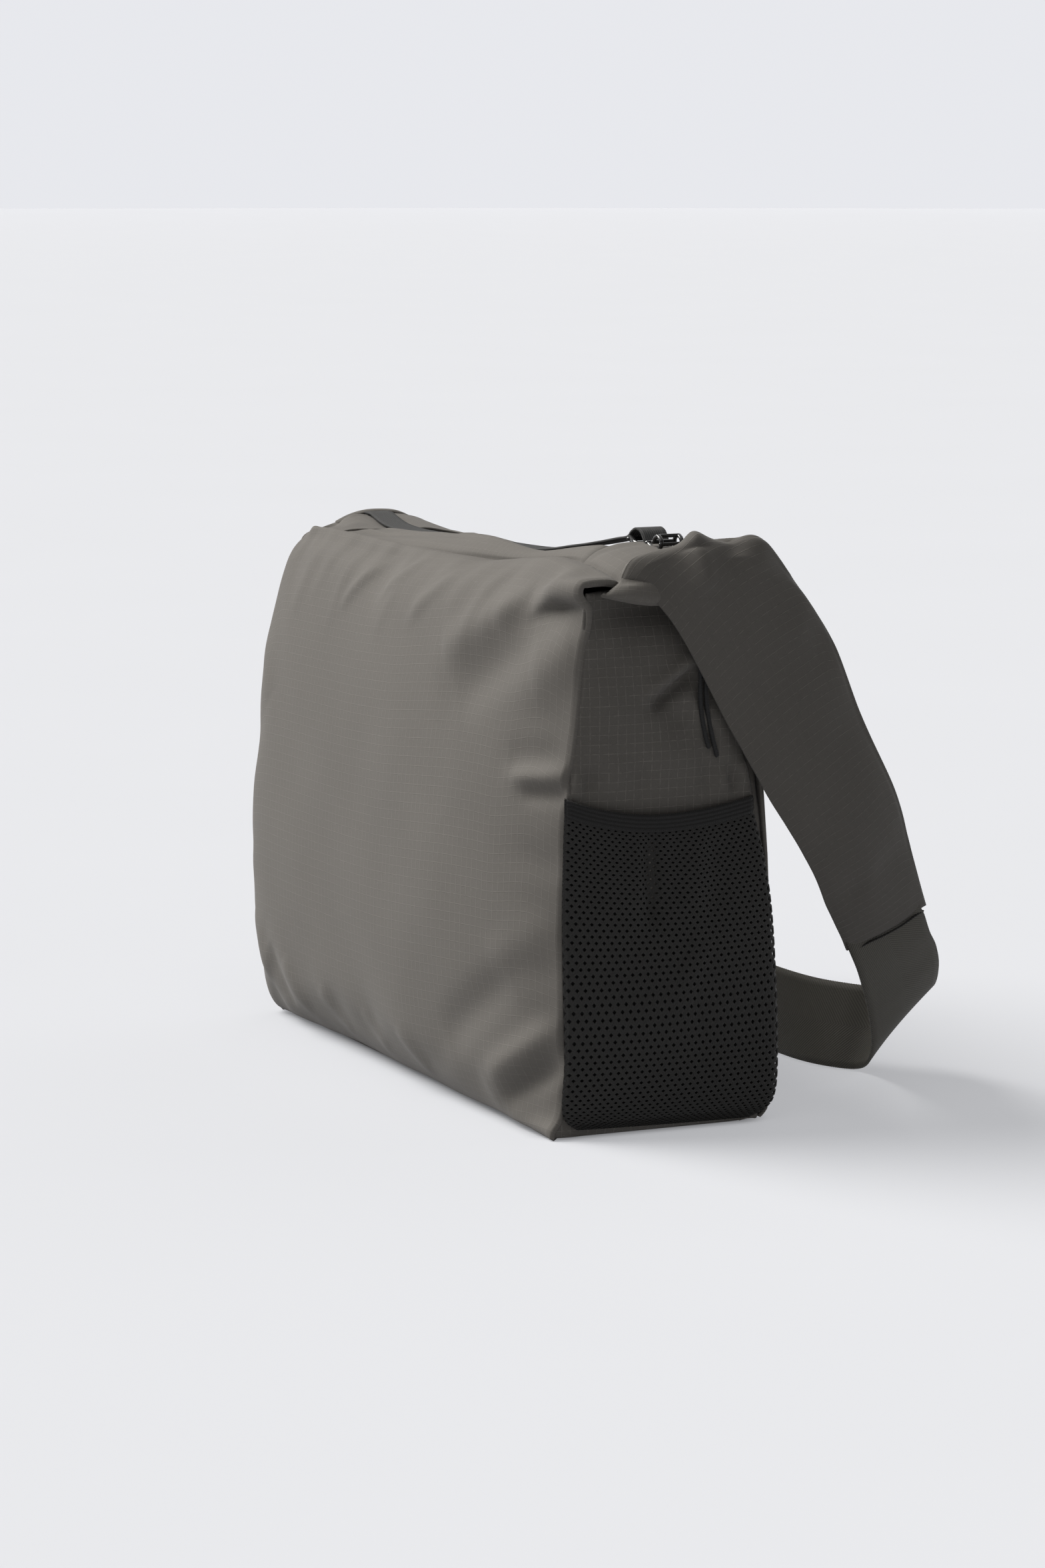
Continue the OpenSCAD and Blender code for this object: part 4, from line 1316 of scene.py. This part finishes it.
CORD_D = 2.6
CORD_FRONT = [(206.1, 8.5, 304.9), (208.5, 8.5, 304.5), (210.8, 9, 301), (211.2, 10, 296), (210.4, 14, 284),
              (209.8, 19, 270), (209.5, 22.5, 257), (209.3, 22.5, 245), (209.2, 23.5, 232),
              (209.1, 26, 220), (209, 28, 214)]
CORD_REAR = [(206.1, 11.6, 304.9), (208.5, 11.8, 304.5), (210.8, 12.5, 301), (211.2, 14, 296),
             (210.4, 18, 284), (209.8, 23, 270), (209.5, 26, 256), (209.3, 26, 244), (209.2, 27.5, 231),
             (209.1, 30.5, 218), (209, 33, 209)]


def pull_cord(name, route, node):
    """One of the zip's two pull cords, hanging from the slider."""
    path = even(mm(route), 60)
    piece = tube(name, path, CORD_D / 2 * MM, cord_black, sides=14)
    finish_piece(piece, "slider", "cord", node)
    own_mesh(piece)
    return piece


# ---------------------------------------------------------------- camera, light, floor

AZIMUTH, ELEVATION = 65.96, 8.35
DISTANCE = 2.7487
AIM_RIGHT, AIM_UP, AIM_HEIGHT = 8.5 * MM, 16.7 * MM, 150 * MM
LENS = 107.14


def camera():
    """The photo's view."""
    a, e = math.radians(AZIMUTH), math.radians(ELEVATION)
    back = Vector((math.sin(a) * math.cos(e), -math.cos(a) * math.cos(e), math.sin(e)))
    right = Vector((math.cos(a), math.sin(a), 0))
    up = back.cross(right)
    target = Vector((0, 0, AIM_HEIGHT)) + right * AIM_RIGHT + up * AIM_UP
    data = bpy.data.cameras.new("camera")
    data.lens, data.sensor_width = LENS, 36
    obj = bpy.data.objects.new("camera", data)
    turn = Matrix((right, up, back)).transposed().to_4x4()
    obj.matrix_world = Matrix.Translation(target + back * DISTANCE) @ turn
    bpy.context.scene.collection.objects.link(obj)
    bpy.context.scene.camera = obj


BACKGROUND = (0.803, 0.812, 0.848)
AMBIENT = 0.10
SUNS = [  # name, energy, angle, colour, and the direction it shines from
    ("key", 6.8, 44, (1.0, 0.985, 0.965), (-0.50, -0.50, 0.70)),
    ("fill", 1.0, 70, (1, 1, 1), (0.26, -0.34, 0.90)),
    ("back", 0.9, 70, (1, 1, 1), (-0.35, 0.80, 0.48)),
]
FLOOR_GLOW = 0.39
FOOT_X, FOOT_Y = 188 * MM, 52 * MM  # half the size of the bag's print on the floor
SHADOW_GLOW, SHADOW_FADE = 0.02, 24 * MM
ROOM_RADIUS, ROOM_HEIGHT, ROOM_SIDES = 22.0, 4.0, 64


def floor_material():
    """Pale and slightly glowing. The glow gives way under the bag, for a soft contact shadow."""
    s = Shader("floor", (0.212, 0.215, 0.222), 0.95)
    s.gloss(specular_ior_level=0.0)
    s.bsdf.inputs["Emission Color"].default_value = (0.97, 0.98, 1.02, 1)
    s.paint((s.noise(s.place(), 3.0, 2.0), 0.985, 1.015))
    split = s.node("ShaderNodeSeparateXYZ")
    s.links.new(s.place(), split.inputs[0])

    def past(place, half):
        gap = s.math("MAXIMUM", s.math("SUBTRACT", s.math("ABSOLUTE", place), half), 0.0)
        return s.math("MULTIPLY", gap, gap)

    gap = s.math("SQRT", s.math("ADD", past(split.outputs[0], FOOT_X), past(split.outputs[1], FOOT_Y)))
    glow = s.ramp(gap, stop=SHADOW_FADE, low=SHADOW_GLOW, high=FLOOR_GLOW, smooth=True)
    s.links.new(glow, s.bsdf.inputs["Emission Strength"])
    return s.material


def surround_material():
    """The plain light background."""
    made = bpy.data.materials.new("surround")
    made.use_nodes = True
    tree = made.node_tree
    tree.nodes.clear()
    glow = tree.nodes.new("ShaderNodeEmission")
    glow.inputs["Color"].default_value = (*BACKGROUND, 1)
    out = tree.nodes.new("ShaderNodeOutputMaterial")
    tree.links.new(glow.outputs[0], out.inputs[0])
    return made


def studio():
    """A pale floor that meets a pale surround, one broad key light from the front's side and even fill."""
    scene = bpy.context.scene
    scene.view_settings.view_transform = "Standard"
    scene.world = bpy.data.worlds.new("studio")
    scene.world.use_nodes = True
    shade = scene.world.node_tree.nodes["Background"]
    shade.inputs["Color"].default_value = (1.0, 0.985, 0.96, 1)
    shade.inputs["Strength"].default_value = AMBIENT
    for name, energy, angle, colour, source in SUNS:
        data = bpy.data.lights.new(name, "SUN")
        data.energy, data.angle, data.color = energy, math.radians(angle), colour
        lamp = bpy.data.objects.new(name, data)
        lamp.rotation_euler = Vector(source).to_track_quat("Z", "Y").to_euler()
        scene.collection.objects.link(lamp)
    n = ROOM_SIDES
    turn = [2 * math.pi * k / n for k in range(n)]
    ring = [(ROOM_RADIUS * math.cos(a), ROOM_RADIUS * math.sin(a), 0) for a in turn]
    floor = mesh_object("floor", ring, [tuple(range(n))], floor_material(), smooth=False)
    verts = ring + [(x, y, ROOM_HEIGHT) for x, y, _ in ring]
    faces = [(k, (k + 1) % n, n + (k + 1) % n, n + k) for k in range(n)]
    wall = mesh_object("surround", verts, faces, surround_material(), smooth=False)
    wall.visible_shadow = False


# ---------------------------------------------------------------- build

camera()
pull_cord("pull_front", CORD_FRONT, "pull_cord_front")
pull_cord("pull_rear", CORD_REAR, "pull_cord_rear")
front_panel()
back_panel()
rear_pocket()
bottom()
for end in (1, -1):
    gusset(end)
    spacer_mesh(end)
    binding(end)
hood_right()
hood_left()
lip_front()
lip_rear()
sleeve()
strap_webbing()
top_webbing()
lock()
hook()
anchor()
webbing_end()
tape("tape_front", "zip_tape_front", "front_lip")
tape("tape_rear", "zip_tape_rear", "rear_lip")
coil("coil_front", "zip_coil_front", "front_lip", 0.0)
coil("coil_rear", "zip_coil_rear", "rear_lip", math.pi)
strap_tab_cover()
pad("front_foam_pad", "front_foam", inset=30 * MM)
pad("back_foam_pad", "back_foam", inset=10 * MM)
pad("sleeve_wall", "laptop_sleeve", inset=10 * MM)
paint_nodes()
studio()
